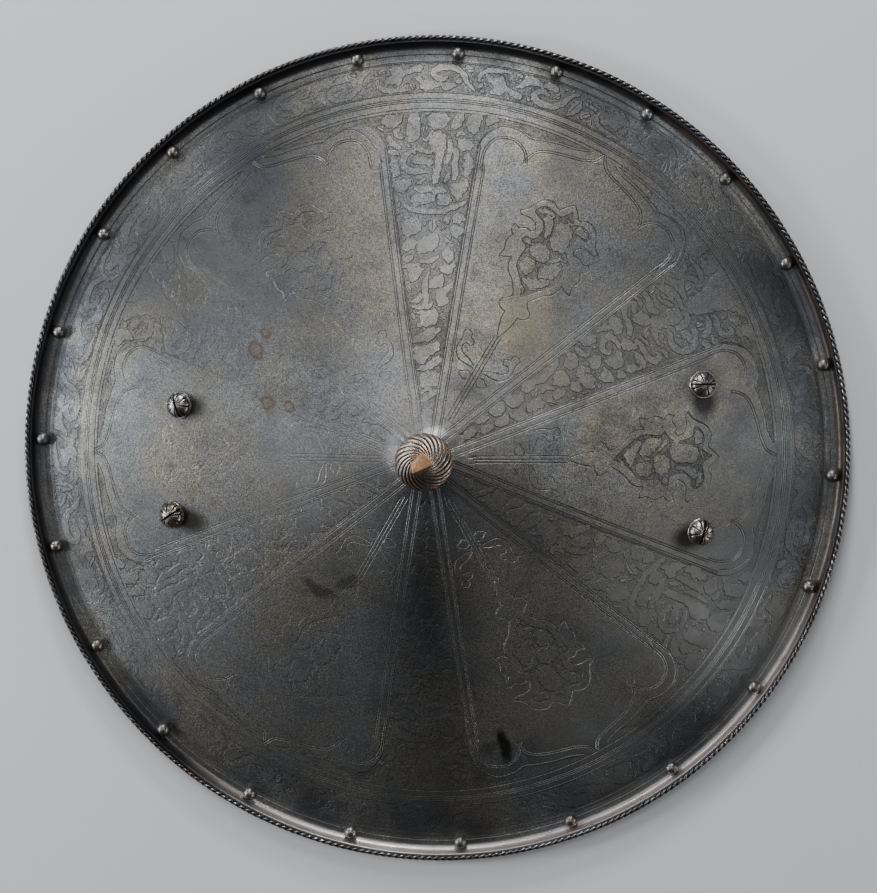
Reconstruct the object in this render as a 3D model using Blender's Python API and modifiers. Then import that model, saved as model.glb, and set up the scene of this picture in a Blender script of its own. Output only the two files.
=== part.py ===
"""Round steel shield with a roped edge, a ring of rim rivets, four strap bolts and a fluted boss spike.

The shield lies on its hollow back with its front and spike up. The origin is under the centre, on the
surface that it lies on. +Z points out of the front, +Y to the upper edge and +X to the right.
"""

import math

import bmesh
import bpy
from mathutils import Matrix, Vector

OBJECT_NAME = "round_shield"

# Plate, in metres.
RIM_RADIUS = 0.290
PLATE_THICKNESS = 0.0018
DOME_RISE = 0.062
DOME_POWER = 1.5
SEAT_RADIUS = 0.0125
NECK_RISE = 0.004
NECK_SPREAD = 0.011
PLATE_SEGMENTS = 60

# Turned-up flange and its bead.
BEAD_RADIUS = 0.0017
BEAD_GROOVE = 0.0006
FLANGE_RISE = 0.0074
FLANGE_WIDTH = 0.0050
RIDGE_WIDTH = 0.0007
VALLEY_WIDTH = 0.0063

# Rim rivets.
RIVET_COUNT = 23
RIVET_HEAD_RADIUS = 0.0047
RIVET_HEAD_HEIGHT = 0.0072
RIVET_FOOT_RADIUS = 0.0023
RIVET_SHANK_RADIUS = 0.0017
RIVET_TAIL_RADIUS = 0.0036
RIVET_TAIL_HEIGHT = 0.0014
RIVET_START = math.radians(24.4)
RIVET_DRIFT = math.radians(3.3)
RIVET_DRIFT_AT = math.radians(3.4)
RIVET_SWAY = math.radians(1.07)
RIVET_SWAY_AT = math.radians(29.5)

# Strap bolts, each with its place on the plate and the direction of its slot.
BOLT_PLACES = {
    "strap_bolt_upper_left": (-0.1754, 0.0337, math.radians(107)),
    "strap_bolt_lower_left": (-0.1815, -0.0435, math.radians(34)),
    "strap_bolt_upper_right": (0.1878, 0.0502, math.radians(0)),
    "strap_bolt_lower_right": (0.1872, -0.0519, math.radians(76)),
}
BOLT_HEAD_RADIUS = 0.0088
BOLT_HEAD_HEIGHT = 0.0062
BOLT_PETALS = 8
BOLT_PETAL_DEPTH = 0.0009
BOLT_COLLAR_RADIUS = 0.0096
BOLT_COLLAR_HEIGHT = 0.0013
BOLT_SHANK_RADIUS = 0.0030
BOLT_TAIL_RADIUS = 0.0058
BOLT_TAIL_HEIGHT = 0.0022
SLOT_WIDTH = 0.0015
SLOT_DEPTH = 0.0016

# Boss spike: a fluted bulb with a square point, and a tang through the plate.
BULB_RADIUS = 0.0196
BULB_HEIGHT = 0.0255
BULB_FOOT_RADIUS = 0.0112
BULB_FLUTES = 22
FLUTE_DEPTH = 0.0016
FLUTE_TWIST = math.radians(78)
COLLAR_RADIUS = 0.0116
COLLAR_HEIGHT = 0.0022
POINT_RADIUS = 0.0076
POINT_LENGTH = 0.068
POINT_TURN = math.radians(-7)
TANG_RADIUS = 0.0045
TANG_TAIL_RADIUS = 0.0085
TANG_TAIL_HEIGHT = 0.0025

# Clearances.
SEAT_GAP = 0.0003
HOLE_GAP = 0.0005

# Places that follow from the sizes above.
BEAD_CENTRE = RIM_RADIUS - BEAD_RADIUS
RIDGE_OUTER = BEAD_CENTRE - BEAD_RADIUS - BEAD_GROOVE
VALLEY_OUTER = RIDGE_OUTER - RIDGE_WIDTH - FLANGE_WIDTH
VALLEY_INNER = VALLEY_OUTER - VALLEY_WIDTH
RIVET_RING = VALLEY_OUTER - RIVET_FOOT_RADIUS
FLOOR_TO_VALLEY = RIVET_TAIL_HEIGHT + SEAT_GAP + PLATE_THICKNESS
TANG_HOLE_RADIUS = TANG_RADIUS + HOLE_GAP
RIVET_SIDES = 8
BOLT_SIDES = 2 * BOLT_PETALS
TANG_SIDES = 12


def clear_scene():
    for obj in list(bpy.data.objects):
        bpy.data.objects.remove(obj, do_unlink=True)


def new_collection(name, hidden=False):
    collection = bpy.data.collections.new(name)
    bpy.context.scene.collection.children.link(collection)
    collection.hide_render = hidden
    return collection


def steel(name, color, roughness):
    material = bpy.data.materials.new(name)
    material.use_nodes = True
    shader = material.node_tree.nodes["Principled BSDF"]
    shader.inputs["Base Color"].default_value = (*color, 1.0)
    shader.inputs["Metallic"].default_value = 1.0
    shader.inputs["Roughness"].default_value = roughness
    return material


def add_object(name, mesh, collection, material=None):
    obj = bpy.data.objects.new(name, mesh)
    collection.objects.link(obj)
    if material:
        mesh.materials.append(material)
    mesh.shade_smooth()
    mesh.set_sharp_from_angle(angle=math.radians(35))
    return obj


def add_helper(name, mesh, collection):
    obj = add_object(name, mesh, collection)
    obj.hide_render = True
    obj.display_type = "WIRE"
    return obj


def add_boolean(obj, name, operation, other):
    modifier = obj.modifiers.new(name, "BOOLEAN")
    modifier.operation = operation
    modifier.object = other
    return modifier


def turned_object(name, profile, sides, collection, material=None, closed=False):
    """A profile of (radius, height) points that runs down its outer side, turned about Z."""
    mesh = bpy.data.meshes.new(name)
    points = [(radius, 0, height) for radius, height in profile]
    edges = [(i, i + 1) for i in range(len(points) - 1)]
    if closed:
        edges.append((len(points) - 1, 0))
    mesh.from_pydata(points, edges, [])
    obj = add_object(name, mesh, collection, material)
    screw = obj.modifiers.new("turn", "SCREW")
    screw.steps = sides
    screw.render_steps = sides
    screw.use_merge_vertices = True
    screw.merge_threshold = 0.00001
    screw.use_smooth_shade = True
    return obj


def ringed_mesh(name, rings):
    """A closed loft through rings of equally many points, from the lowest ring to the highest."""
    bm = bmesh.new()
    loops = [[bm.verts.new(point) for point in ring] for ring in rings]
    count = len(loops[0])
    for low, high in zip(loops, loops[1:]):
        for i in range(count):
            j = (i + 1) % count
            bm.faces.new((low[i], low[j], high[j], high[i]))
    bm.faces.new(list(reversed(loops[0])))
    bm.faces.new(loops[-1])
    mesh = bpy.data.meshes.new(name)
    bm.to_mesh(mesh)
    bm.free()
    return mesh


def dome_height(radius):
    """Height of the plate's front over the valley, out to the valley's inner edge."""
    reach = max(radius, SEAT_RADIUS)
    dome = DOME_RISE * (1 - (reach / VALLEY_INNER) ** DOME_POWER)
    neck = NECK_RISE * math.exp(-(((reach - SEAT_RADIUS) / NECK_SPREAD) ** 2))
    return dome + neck


def dome_slope(radius):
    step = 0.001
    return (dome_height(radius + step) - dome_height(radius - step)) / (2 * step)


def dome_radii():
    """Ring radii of the dome, close together at the neck and wider apart towards the rim."""
    rings = 8
    first = SEAT_RADIUS + 0.45 * NECK_SPREAD
    spread = [((i + 1) / rings) ** 1.45 for i in range(rings - 1)]
    outer = [first + (VALLEY_INNER - first) * share for share in spread]
    return [SEAT_RADIUS, first, *outer]


def front_profile():
    """The front of the plate, from the edge of the tang's hole to the ridge of the flange."""
    points = [(TANG_HOLE_RADIUS, dome_height(0))]
    points += [(radius, dome_height(radius)) for radius in dome_radii()]
    points += [(VALLEY_INNER, 0.0), (VALLEY_OUTER, 0.0)]
    for turn in (math.radians(30), math.radians(60), math.radians(90)):
        radius = VALLEY_OUTER + FLANGE_WIDTH * math.sin(turn)
        points.append((radius, FLANGE_RISE * (1 - math.cos(turn))))
    return points


def back_profile(front):
    """The front profile moved back by the plate's thickness, square to its slope."""
    points = []
    for i, (radius, height) in enumerate(front):
        before = Vector(front[max(i - 1, 0)])
        after = Vector(front[min(i + 1, len(front) - 1)])
        along = (after - before).normalized()
        if i == 0:
            along = Vector((1, 0))
        points.append((radius + along.y * PLATE_THICKNESS, height - along.x * PLATE_THICKNESS))
    points[0] = (front[0][0], points[0][1])
    return points


def bead_profile():
    """The turned bead of the edge, from its groove round to its underside."""
    points = [(RIDGE_OUTER + BEAD_GROOVE, FLANGE_RISE - BEAD_GROOVE)]
    for degrees in (125, 60, 0, -75):
        turn = math.radians(degrees)
        radius = BEAD_CENTRE + BEAD_RADIUS * math.cos(turn)
        points.append((radius, FLANGE_RISE + BEAD_RADIUS * math.sin(turn)))
    return points


def valley_to_world(profile):
    return [(radius, height + FLOOR_TO_VALLEY) for radius, height in profile]


def rivet_angle(index):
    """Spacing by eye: the rivets drift towards one side of the rim and sway about that."""
    even = RIVET_START + 2 * math.pi * index / RIVET_COUNT
    drift = RIVET_DRIFT * math.cos(even - RIVET_DRIFT_AT)
    return even + drift + RIVET_SWAY * math.cos(2 * even - RIVET_SWAY_AT)


def rivet_place(index):
    turn = rivet_angle(index)
    return Vector((RIVET_RING * math.cos(turn), RIVET_RING * math.sin(turn), FLOOR_TO_VALLEY))


def bolt_matrix(x, y, slot_turn):
    """The frame of a bolt: its origin on the plate's front and its Z square to the plate."""
    radius = math.hypot(x, y)
    slope = dome_slope(radius)
    normal = Vector((-slope * x / radius, -slope * y / radius, 1)).normalized()
    turn = Vector((0, 0, 1)).rotation_difference(normal).to_matrix().to_4x4()
    place = Vector((x, y, dome_height(radius) + FLOOR_TO_VALLEY))
    return Matrix.Translation(place) @ turn @ Matrix.Rotation(slot_turn, 4, "Z")


def make_hole_cutters(collection):
    """One cutter for the rivet holes and one for the bolt holes."""
    depth = 6 * PLATE_THICKNESS
    rivets = bmesh.new()
    for index in range(RIVET_COUNT):
        turn = Matrix.Rotation(rivet_angle(index), 4, "Z")
        matrix = Matrix.Translation(rivet_place(index)) @ turn
        radius = RIVET_SHANK_RADIUS + HOLE_GAP
        bmesh.ops.create_cone(rivets, cap_ends=True, segments=RIVET_SIDES, radius1=radius,
                              radius2=radius, depth=depth, matrix=matrix)
    bolts = bmesh.new()
    for place in BOLT_PLACES.values():
        radius = BOLT_SHANK_RADIUS + HOLE_GAP
        bmesh.ops.create_cone(bolts, cap_ends=True, segments=TANG_SIDES, radius1=radius,
                              radius2=radius, depth=depth, matrix=bolt_matrix(*place))
    cutters = []
    for name, bm in (("rivet_holes", rivets), ("bolt_holes", bolts)):
        mesh = bpy.data.meshes.new(name)
        bm.to_mesh(mesh)
        bm.free()
        cutters.append(add_helper(name, mesh, collection))
    return cutters


def make_plate(parts, cutters, material):
    front = front_profile()
    ridge = (RIDGE_OUTER, FLANGE_RISE)
    outline = front + [ridge] + bead_profile() + list(reversed(back_profile(front)))
    plate = turned_object("shield_plate", valley_to_world(outline), PLATE_SEGMENTS, parts,
                          material, closed=True)
    for cutter in make_hole_cutters(cutters):
        add_boolean(plate, cutter.name, "DIFFERENCE", cutter)
    return plate


def rivet_profile():
    """A ball head, a shank through the plate and a hammered tail behind it."""
    back = -PLATE_THICKNESS - SEAT_GAP
    head = [
        (0.0, RIVET_HEAD_HEIGHT),
        (0.72 * RIVET_HEAD_RADIUS, 0.85 * RIVET_HEAD_HEIGHT),
        (RIVET_HEAD_RADIUS, 0.45 * RIVET_HEAD_HEIGHT),
        (RIVET_SHANK_RADIUS, SEAT_GAP),
    ]
    tail = [
        (RIVET_TAIL_RADIUS, back),
        (0.8 * RIVET_TAIL_RADIUS, back - RIVET_TAIL_HEIGHT),
        (0.0, back - RIVET_TAIL_HEIGHT),
    ]
    return head + [(RIVET_SHANK_RADIUS, back)] + tail


def make_rivets(parts, material):
    first = turned_object("rim_rivet_01", rivet_profile(), RIVET_SIDES, parts, material)
    for index in range(RIVET_COUNT):
        rivet = first
        if index:
            rivet = first.copy()
            rivet.name = f"rim_rivet_{index + 1:02d}"
            parts.objects.link(rivet)
        rivet.location = rivet_place(index)
        rivet.rotation_euler.z = rivet_angle(index)


def ring(radius, height, sides, scallop=0.0, turn=0.0):
    """Points of a ring, where every second point is drawn in by the scallop."""
    points = []
    for i in range(sides):
        angle = turn + 2 * math.pi * i / sides
        reach = radius - scallop * (i % 2)
        points.append((reach * math.cos(angle), reach * math.sin(angle), height))
    return points


def bolt_rings():
    """A petalled dome on a thin collar, with a shank and a flat hammered tail."""
    back = -PLATE_THICKNESS - SEAT_GAP
    top = SEAT_GAP + BOLT_COLLAR_HEIGHT + BOLT_HEAD_HEIGHT
    collar_top = SEAT_GAP + BOLT_COLLAR_HEIGHT
    sizes = [
        (BOLT_TAIL_RADIUS, back - BOLT_TAIL_HEIGHT, 0),
        (BOLT_TAIL_RADIUS, back, 0),
        (BOLT_SHANK_RADIUS, back, 0),
        (BOLT_SHANK_RADIUS, SEAT_GAP, 0),
        (BOLT_COLLAR_RADIUS, SEAT_GAP, 0),
        (BOLT_COLLAR_RADIUS, collar_top, 0),
        (BOLT_HEAD_RADIUS, collar_top, BOLT_PETAL_DEPTH),
        (0.93 * BOLT_HEAD_RADIUS, collar_top + 0.5 * BOLT_HEAD_HEIGHT, BOLT_PETAL_DEPTH),
        (0.62 * BOLT_HEAD_RADIUS, collar_top + 0.87 * BOLT_HEAD_HEIGHT, 0.5 * BOLT_PETAL_DEPTH),
        (0.22 * BOLT_HEAD_RADIUS, top, 0),
    ]
    return [ring(radius, height, BOLT_SIDES, scallop) for radius, height, scallop in sizes]


def make_bolts(parts, cutters, material):
    top = SEAT_GAP + BOLT_COLLAR_HEIGHT + BOLT_HEAD_HEIGHT
    mesh = ringed_mesh("strap_bolt", bolt_rings())
    for name, place in BOLT_PLACES.items():
        bolt = add_object(name, mesh.copy(), parts, material)
        bolt.matrix_world = bolt_matrix(*place)
        bm = bmesh.new()
        size = Matrix.Diagonal((4 * BOLT_HEAD_RADIUS, SLOT_WIDTH, 2 * SLOT_DEPTH, 1))
        bmesh.ops.create_cube(bm, size=1, matrix=Matrix.Translation((0, 0, top)) @ size)
        slot_mesh = bpy.data.meshes.new(name + "_slot")
        bm.to_mesh(slot_mesh)
        bm.free()
        slot = add_helper(name + "_slot", slot_mesh, cutters)
        slot.matrix_world = bolt_matrix(*place)
        add_boolean(bolt, "slot", "DIFFERENCE", slot)


def bulb_rings():
    """Rings of the fluted bulb: the flutes turn as they run from the foot up to the point."""
    sides = 2 * BULB_FLUTES
    foot = COLLAR_HEIGHT
    outline = [
        (BULB_FOOT_RADIUS / BULB_RADIUS, 0.0, 0.4),
        (0.80, 0.12, 1.0),
        (0.96, 0.30, 1.0),
        (1.0, 0.46, 1.0),
        (0.93, 0.64, 1.0),
        (0.76, 0.80, 0.9),
        (0.55, 0.92, 0.7),
        (POINT_RADIUS / BULB_RADIUS, 1.0, 0.2),
    ]
    rings = []
    for share, rise, flute in outline:
        height = foot + rise * (BULB_HEIGHT - foot)
        turn = -FLUTE_TWIST * (1 - share) * (1 if rise > 0.46 else -0.5)
        rings.append(ring(share * BULB_RADIUS, height, sides, flute * FLUTE_DEPTH, turn))
    return rings


def tang_profile():
    """The collar on the plate, the tang through it and the tail hammered over behind it."""
    back = -PLATE_THICKNESS - SEAT_GAP
    bulb_inside = 0.5 * BULB_HEIGHT
    return [
        (0.0, bulb_inside),
        (0.5 * BULB_FOOT_RADIUS, bulb_inside),
        (0.5 * BULB_FOOT_RADIUS, COLLAR_HEIGHT),
        (COLLAR_RADIUS, COLLAR_HEIGHT),
        (COLLAR_RADIUS, SEAT_GAP),
        (TANG_RADIUS, SEAT_GAP),
        (TANG_RADIUS, back),
        (TANG_TAIL_RADIUS, back),
        (0.8 * TANG_TAIL_RADIUS, back - TANG_TAIL_HEIGHT),
        (0.0, back - TANG_TAIL_HEIGHT),
    ]


def point_mesh():
    """A square point whose foot reaches down inside the bulb."""
    rooted = 0.4 * BULB_HEIGHT
    length = POINT_LENGTH + rooted
    foot = POINT_RADIUS * length / POINT_LENGTH
    bm = bmesh.new()
    matrix = Matrix.Rotation(POINT_TURN, 4, "Z") @ Matrix.Translation((0, 0, length / 2))
    bmesh.ops.create_cone(bm, cap_ends=True, segments=4, radius1=foot, radius2=0, depth=length,
                          matrix=Matrix.Translation((0, 0, BULB_HEIGHT - rooted)) @ matrix)
    mesh = bpy.data.meshes.new("spike_point")
    bm.to_mesh(mesh)
    bm.free()
    return mesh


def make_spike(parts, cutters, material):
    place = Vector((0, 0, FLOOR_TO_VALLEY + dome_height(0)))
    bulb = add_object("boss_spike", ringed_mesh("bulb", bulb_rings()), parts, material)
    tang = turned_object("spike_tang", tang_profile(), TANG_SIDES, cutters)
    tang.hide_render = True
    tang.display_type = "WIRE"
    point = add_helper("spike_point", point_mesh(), cutters)
    for obj in (bulb, tang, point):
        obj.location = place
    add_boolean(bulb, "tang", "UNION", tang)
    add_boolean(bulb, "point", "UNION", point)


def main():
    clear_scene()
    parts = new_collection(OBJECT_NAME)
    cutters = new_collection("cutters", hidden=True)
    plate_steel = steel("plate_steel", (0.23, 0.22, 0.20), 0.42)
    fitting_steel = steel("fitting_steel", (0.30, 0.27, 0.24), 0.35)
    make_plate(parts, cutters, plate_steel)
    make_rivets(parts, fitting_steel)
    make_bolts(parts, cutters, fitting_steel)
    make_spike(parts, cutters, fitting_steel)


main()
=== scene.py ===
import math
import random

import bmesh
import bpy
import numpy as np
from mathutils import Matrix, Vector, geometry, kdtree


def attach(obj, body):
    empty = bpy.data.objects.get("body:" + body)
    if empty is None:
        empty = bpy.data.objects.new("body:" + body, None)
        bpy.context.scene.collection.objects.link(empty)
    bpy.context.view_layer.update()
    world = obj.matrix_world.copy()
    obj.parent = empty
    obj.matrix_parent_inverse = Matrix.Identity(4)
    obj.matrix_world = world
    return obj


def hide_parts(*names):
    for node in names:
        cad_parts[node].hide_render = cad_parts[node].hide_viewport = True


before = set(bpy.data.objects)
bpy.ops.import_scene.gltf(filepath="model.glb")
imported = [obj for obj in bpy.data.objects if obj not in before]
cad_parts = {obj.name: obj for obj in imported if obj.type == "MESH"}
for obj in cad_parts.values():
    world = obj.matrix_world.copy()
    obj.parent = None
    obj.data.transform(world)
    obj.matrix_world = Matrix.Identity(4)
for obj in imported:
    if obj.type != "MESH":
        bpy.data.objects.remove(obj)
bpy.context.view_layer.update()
print("frame loaded:", len(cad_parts), "nodes")

mm = 0.001
fullTurn = 2 * math.pi

# The plate's own sizes, in metres, as the solid has them.
plate = {
    "rimRadius": 0.290,
    "thickness": 0.0018,
    "domeRise": 0.062,
    "domePower": 1.5,
    "seatRadius": 0.0125,
    "neckRise": 0.004,
    "neckSpread": 0.011,
    "holeRadius": 0.0050,
    "valleyHeight": 0.0035,
    "valleyInner": 0.2740,
    "creaseSoftness": 0.0012,
    "fieldRadius": 0.2796,
    "valleyOuter": 0.2803,
    "flangeWidth": 0.0050,
    "flangeRise": 0.0074,
    "ridgeOuter": 0.2860,
    "beadRadius": 0.0017,
    "turnSteps": 360,
}


def domeHeight(radius):
    # Height of the plate's front over the valley.
    reach = np.maximum(radius, plate["seatRadius"])
    dome = plate["domeRise"] * (1 - (reach / plate["valleyInner"]) ** plate["domePower"])
    neck = plate["neckRise"] * np.exp(-(((reach - plate["seatRadius"]) / plate["neckSpread"]) ** 2))
    soft = plate["creaseSoftness"]
    slope = plate["domePower"] * plate["domeRise"] / plate["valleyInner"]
    over = np.clip(plate["valleyInner"] + soft - reach, 0, 2 * soft)
    crease = slope * over ** 2 / (4 * soft)
    return np.where(reach > plate["valleyInner"] - soft, crease, dome + neck)


def domeSlope(radius):
    step = 0.0002
    return (domeHeight(radius + step) - domeHeight(radius - step)) / (2 * step)


# Helpers for paths in plan, in millimetres

def curveThrough(points, step, closed=False):
    # A Catmull-Rom curve through the points, with a point about every step.
    given = np.array(points, float)
    count = len(given)
    out = []
    for i in range(count if closed else count - 1):
        if closed:
            a, b, c, d = (given[(i + j) % count] for j in (-1, 0, 1, 2))
        else:
            a, b, c, d = given[max(i - 1, 0)], given[i], given[i + 1], given[min(i + 2, count - 1)]
        parts = max(1, int(round(np.hypot(*(c - b)[:2]) / step)))
        for t in np.arange(parts) / parts:
            out.append(0.5 * (2 * b + (c - a) * t + (2 * a - 5 * b + 4 * c - d) * t ** 2
                              + (3 * b - a - 3 * c + d) * t ** 3))
    if not closed:
        out.append(given[-1])
    return np.array(out)


def evenly(path, step):
    # The path again with points at even steps along it.
    run = np.concatenate([[0], np.cumsum(np.hypot(*np.diff(path, axis=0).T))])
    at = np.linspace(0, run[-1], max(2, int(run[-1] / step)))
    return np.column_stack([np.interp(at, run, path[:, 0]), np.interp(at, run, path[:, 1])])


def squareTo(path, closed=False):
    # The direction to the left of a path, at each of its points.
    along = np.roll(path, -1, 0) - np.roll(path, 1, 0) if closed else np.gradient(path, axis=0)
    along = along / np.maximum(np.hypot(along[:, 0], along[:, 1]), 1e-9)[:, None]
    return np.stack([-along[:, 1], along[:, 0]], 1)


def offsetLoop(loop, distance):
    # A closed outline moved outwards, or inwards where the distance is negative.
    nextOne = np.roll(loop, -1, 0)
    area = (loop[:, 0] * nextOne[:, 1] - loop[:, 1] * nextOne[:, 0]).sum()
    return loop - squareTo(loop, True) * distance * (1 if area > 0 else -1)


def sidesOf(path, offsets):
    left = squareTo(path)
    return [path + left * np.reshape(offset, (-1, 1)) for offset in offsets]


def ribbonShape(controls, step=1.0):
    # A closed outline round a centre line of (x, y, half width).
    path = curveThrough(controls, step)
    half = np.maximum(path[:, 2], 0.0)
    left, right = sidesOf(path[:, :2], (half, -half))
    return np.vstack([left, right[::-1][1:-1]])


def leafShape(x, y, turn, size, lobes, bend):
    # A lobed leaf from its stalk to its tip, bent to one side, and its vein.
    t = np.linspace(0, 1, 30)
    body = np.sin(np.pi * t ** 0.8) ** 0.75
    cut = 0.84 - 0.22 * np.abs(np.sin(np.pi * lobes * t + .6)) ** 3
    half = 0.36 * size * body * cut
    heading = turn + bend * (t - 0.3)
    path = np.cumsum(np.stack([np.cos(heading), np.sin(heading)], 1) * size / len(t), 0)
    path += (x, y) - path[len(t) // 2]
    left, right = sidesOf(path, (half, -half * 0.8))
    return np.vstack([left, right[::-1][1:-1]]), path[3:22]


def thinned(path, tolerance=0.07, longest=9.0):
    # The path without the points that lie on a straight run.
    keep, i, count = [0], 0, len(path)
    while i < count - 1:
        j = min(i + 2, count - 1)
        while j < count and j - i <= 14:
            chord = path[j] - path[i]
            size = np.hypot(*chord)
            between = path[i + 1:j] - path[i]
            away = np.abs(between[:, 0] * chord[1] - between[:, 1] * chord[0]) / max(size, 1e-9)
            if size > longest or (len(away) and away.max() > tolerance) or size < 1e-9:
                break
            j += 1
        i = max(j - 1, i + 1)
        keep.append(i)
    return path[keep]


def polar(degrees, radius):
    turn = math.radians(degrees)
    return (radius * math.cos(turn), radius * math.sin(turn))


def along(axis, s, t):
    # The point s out along an axis of the shield and t to the left of it.
    turn = math.radians(axis)
    return (s * math.cos(turn) - t * math.sin(turn), s * math.sin(turn) + t * math.cos(turn))


# The engraved ornament in plan, in degrees and millimetres. Bands are (axis, shift, foliage, side).
ornament = {
    "ringShares": (0.9535, 0.9375, 0.8620, 0.8485, 0.8440, 0.8395, 0.8245),
    "bands": ((90, -0.8, 1, 1), (29.5, 1.0, 0, 1), (-31, 0.4, 1, -1), (-91, 0, 0, -1),
              (-150, -1.8, 1, 1), (151.5, -1.0, 0, -1)),
    "panelAxes": (60, 0, -61, -120, 180, 122),
    "stripWidth": 5.3,
    "stripPair": 0.7,
    "borderInner": 0.8640,
    "borderOuter": 0.9355,
    "borderWaves": 21,
    "leafGap": 0.95,
    "leafNicks": 0.45,
    "lobeLength": 4.6,
    "lobeDepth": 0.85,
    "leafGrowth": 0.45,
    # Small leaves fill the gaps, the largest first, each size tried so many times.
    "fillSizes": (15, 12, 9.5, 7.5, 6, 4.8, 3.8),
    "bandTries": 500,
    "borderTries": 1600,
    "veinedFrom": 5,
    "seed": 11,
}
rimRadius = plate["rimRadius"] / mm
cell = 0.25
planHalf = 292.0
planCells = int(2 * planHalf / cell)


def cellsInside(shape):
    # The plan's cells inside a closed outline, as two slices and a mask.
    shape = np.asarray(shape)
    low = np.maximum(((shape.min(0) + planHalf) / cell).astype(int) - 1, 0)
    high = np.minimum(((shape.max(0) + planHalf) / cell).astype(int) + 2, planCells)
    xs = (np.arange(low[0], high[0]) + 0.5) * cell - planHalf
    ys = (np.arange(low[1], high[1]) + 0.5) * cell - planHalf
    mask = np.zeros((len(ys), len(xs)), bool)
    for (xa, ya), (xb, yb) in zip(shape, np.roll(shape, -1, 0)):
        rows = np.nonzero((ys > min(ya, yb)) & (ys <= max(ya, yb)))[0]
        if len(rows):
            cross = xa + (ys[rows] - ya) * (xb - xa) / (yb - ya)
            mask[rows] ^= xs[None, :] < cross[:, None]
    return slice(low[1], high[1]), slice(low[0], high[0]), mask


def grown(mask, reach):
    # The mask with every cell within reach of it.
    out = mask.copy()
    size = int(math.ceil(reach))
    for dy in range(-size, size + 1):
        wide = int(math.sqrt(max(reach * reach + 0.5 - dy * dy, 0)))
        row = np.roll(mask, dy, 0)
        for dx in range(-wide, wide + 1):
            out |= np.roll(row, dx, 1)
    return out


def ragged(shape, rng, lobed):
    # The outline as a graver leaves it, nicked a little in and out, and cut back between the lobes of a leaf.
    amount = ornament["leafNicks"]
    shape = evenly(np.vstack([shape, shape[:1]]), 1.0)[:-1]
    push = np.array([rng.uniform(-amount, amount) for _ in shape])
    push = (push + np.roll(push, 1)) * .7
    lobes = round(len(shape) / ornament["lobeLength"])
    if lobed and lobes > 2:
        x, y = shape[:, 0], shape[:, 1]
        inward = np.sign(np.sum(x * np.roll(y, -1) - np.roll(x, -1) * y))
        waves = np.abs(np.sin(math.pi * lobes * np.arange(len(shape)) / len(shape) + rng.uniform(0, math.pi)))
        push = push + inward * ornament["lobeDepth"] * (1 - waves) ** 1.4
    before, after = np.roll(shape, 1, 0), np.roll(shape, -1, 0)
    run = after - before
    run /= np.maximum(np.hypot(run[:, 0], run[:, 1]), 1e-9)[:, None]
    return shape + np.column_stack([-run[:, 1], run[:, 0]]) * push[:, None]


class Plan:
    # What is engraved: sunk ground, leaves left standing in it, and lines.

    def __init__(self):
        self.nicks = random.Random(3)
        self.sunk = np.zeros((planCells, planCells), bool)
        self.free = np.zeros((planCells, planCells), bool)
        self.walls = []
        self.lines = []

    def sinkGround(self, shape):
        ys, xs, mask = cellsInside(shape)
        self.sunk[ys, xs] |= mask
        inner = mask & ~grown(~mask, 0.7 / cell)
        self.free[ys, xs] |= inner
        self.walls.append((np.asarray(shape), -1))

    def leave(self, shape, lobed=True):
        shape = ragged(np.asarray(shape), self.nicks, lobed)
        ys, xs, mask = cellsInside(shape)
        self.sunk[ys, xs] &= ~mask
        pad = int(math.ceil(ornament["leafGap"] / cell)) + 1
        wide = np.pad(mask, pad)
        wide = grown(wide, ornament["leafGap"] / cell)
        y0, x0 = ys.start - pad, xs.start - pad
        view = self.free[y0:y0 + wide.shape[0], x0:x0 + wide.shape[1]]
        view &= ~wide[:view.shape[0], :view.shape[1]]
        self.walls.append((np.asarray(shape), 1))

    def hasRoom(self, shape):
        middle = shape.mean(0)
        points = np.vstack([shape, middle + (shape - middle) * 0.6, middle + (shape - middle) * 0.25])
        at = ((points + planHalf) / cell).astype(int)
        return self.free[at[:, 1], at[:, 0]].all()

    def line(self, path):
        self.lines.append(np.asarray(path)[:, :2])


def bandHalf(s):
    # Half width of a foliage band, to the middle of its inner pair of lines.
    return 0.6 + 0.1500 * s


archLobe = [(20.0, .705), (20.0, .725), (19.6, .745), (18.6, .7635), (16.9, .773), (15.0, .7716),
            (13.5, .7599), (12.6, .745), (12.2, .7305)]
archOgee = [(12.2, .7305), (11.5, .748), (10.5, .762), (8.45, .7717), (5.7, .7785), (3.0, .7855),
            (1.1, .7967), (.3, .812), (0, .821)]
archOuter = [(21.5, .742), (20.6, .768), (19.2, .788), (17.4, .801), (14.7, .799), (12.6, .788),
             (10.9, .792), (7.4, .7995), (4.6, .803), (2.2, .815)]


def drawPanelEdge(plan, centre):
    # The lobed arch that closes the outer end of a plain panel.
    for side in (1, -1):
        for points in (archLobe, archOgee):
            path = curveThrough([polar(centre + side * a, r * rimRadius) for a, r in points], 2.0)
            for offset in (0.0, 1.5 * side):
                plan.line(sidesOf(path, (offset,))[0])
        plan.line(curveThrough([polar(centre + side * a, r * rimRadius) for a, r in archOuter], 2.0))


def drawStrips(plan, axis, shift):
    # The plain strips between two pairs of lines at both sides of a band.
    pair, strip = ornament["stripPair"], ornament["stripWidth"]
    for side in (1, -1):
        for offset, end in ((-pair, .74), (pair, .74), (strip - pair, .705), (strip + pair, .70)):
            near = 16.0
            while math.degrees(math.atan2(bandHalf(near) + offset, near)) > 30.0:
                near += 0.5
            far = near
            while math.hypot(far, bandHalf(far) + offset) < end * rimRadius:
                far += 0.5
            run = np.linspace(near, far, 24)
            plan.line([along(axis, s, side * (bandHalf(s) + offset) + shift) for s in run])


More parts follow.
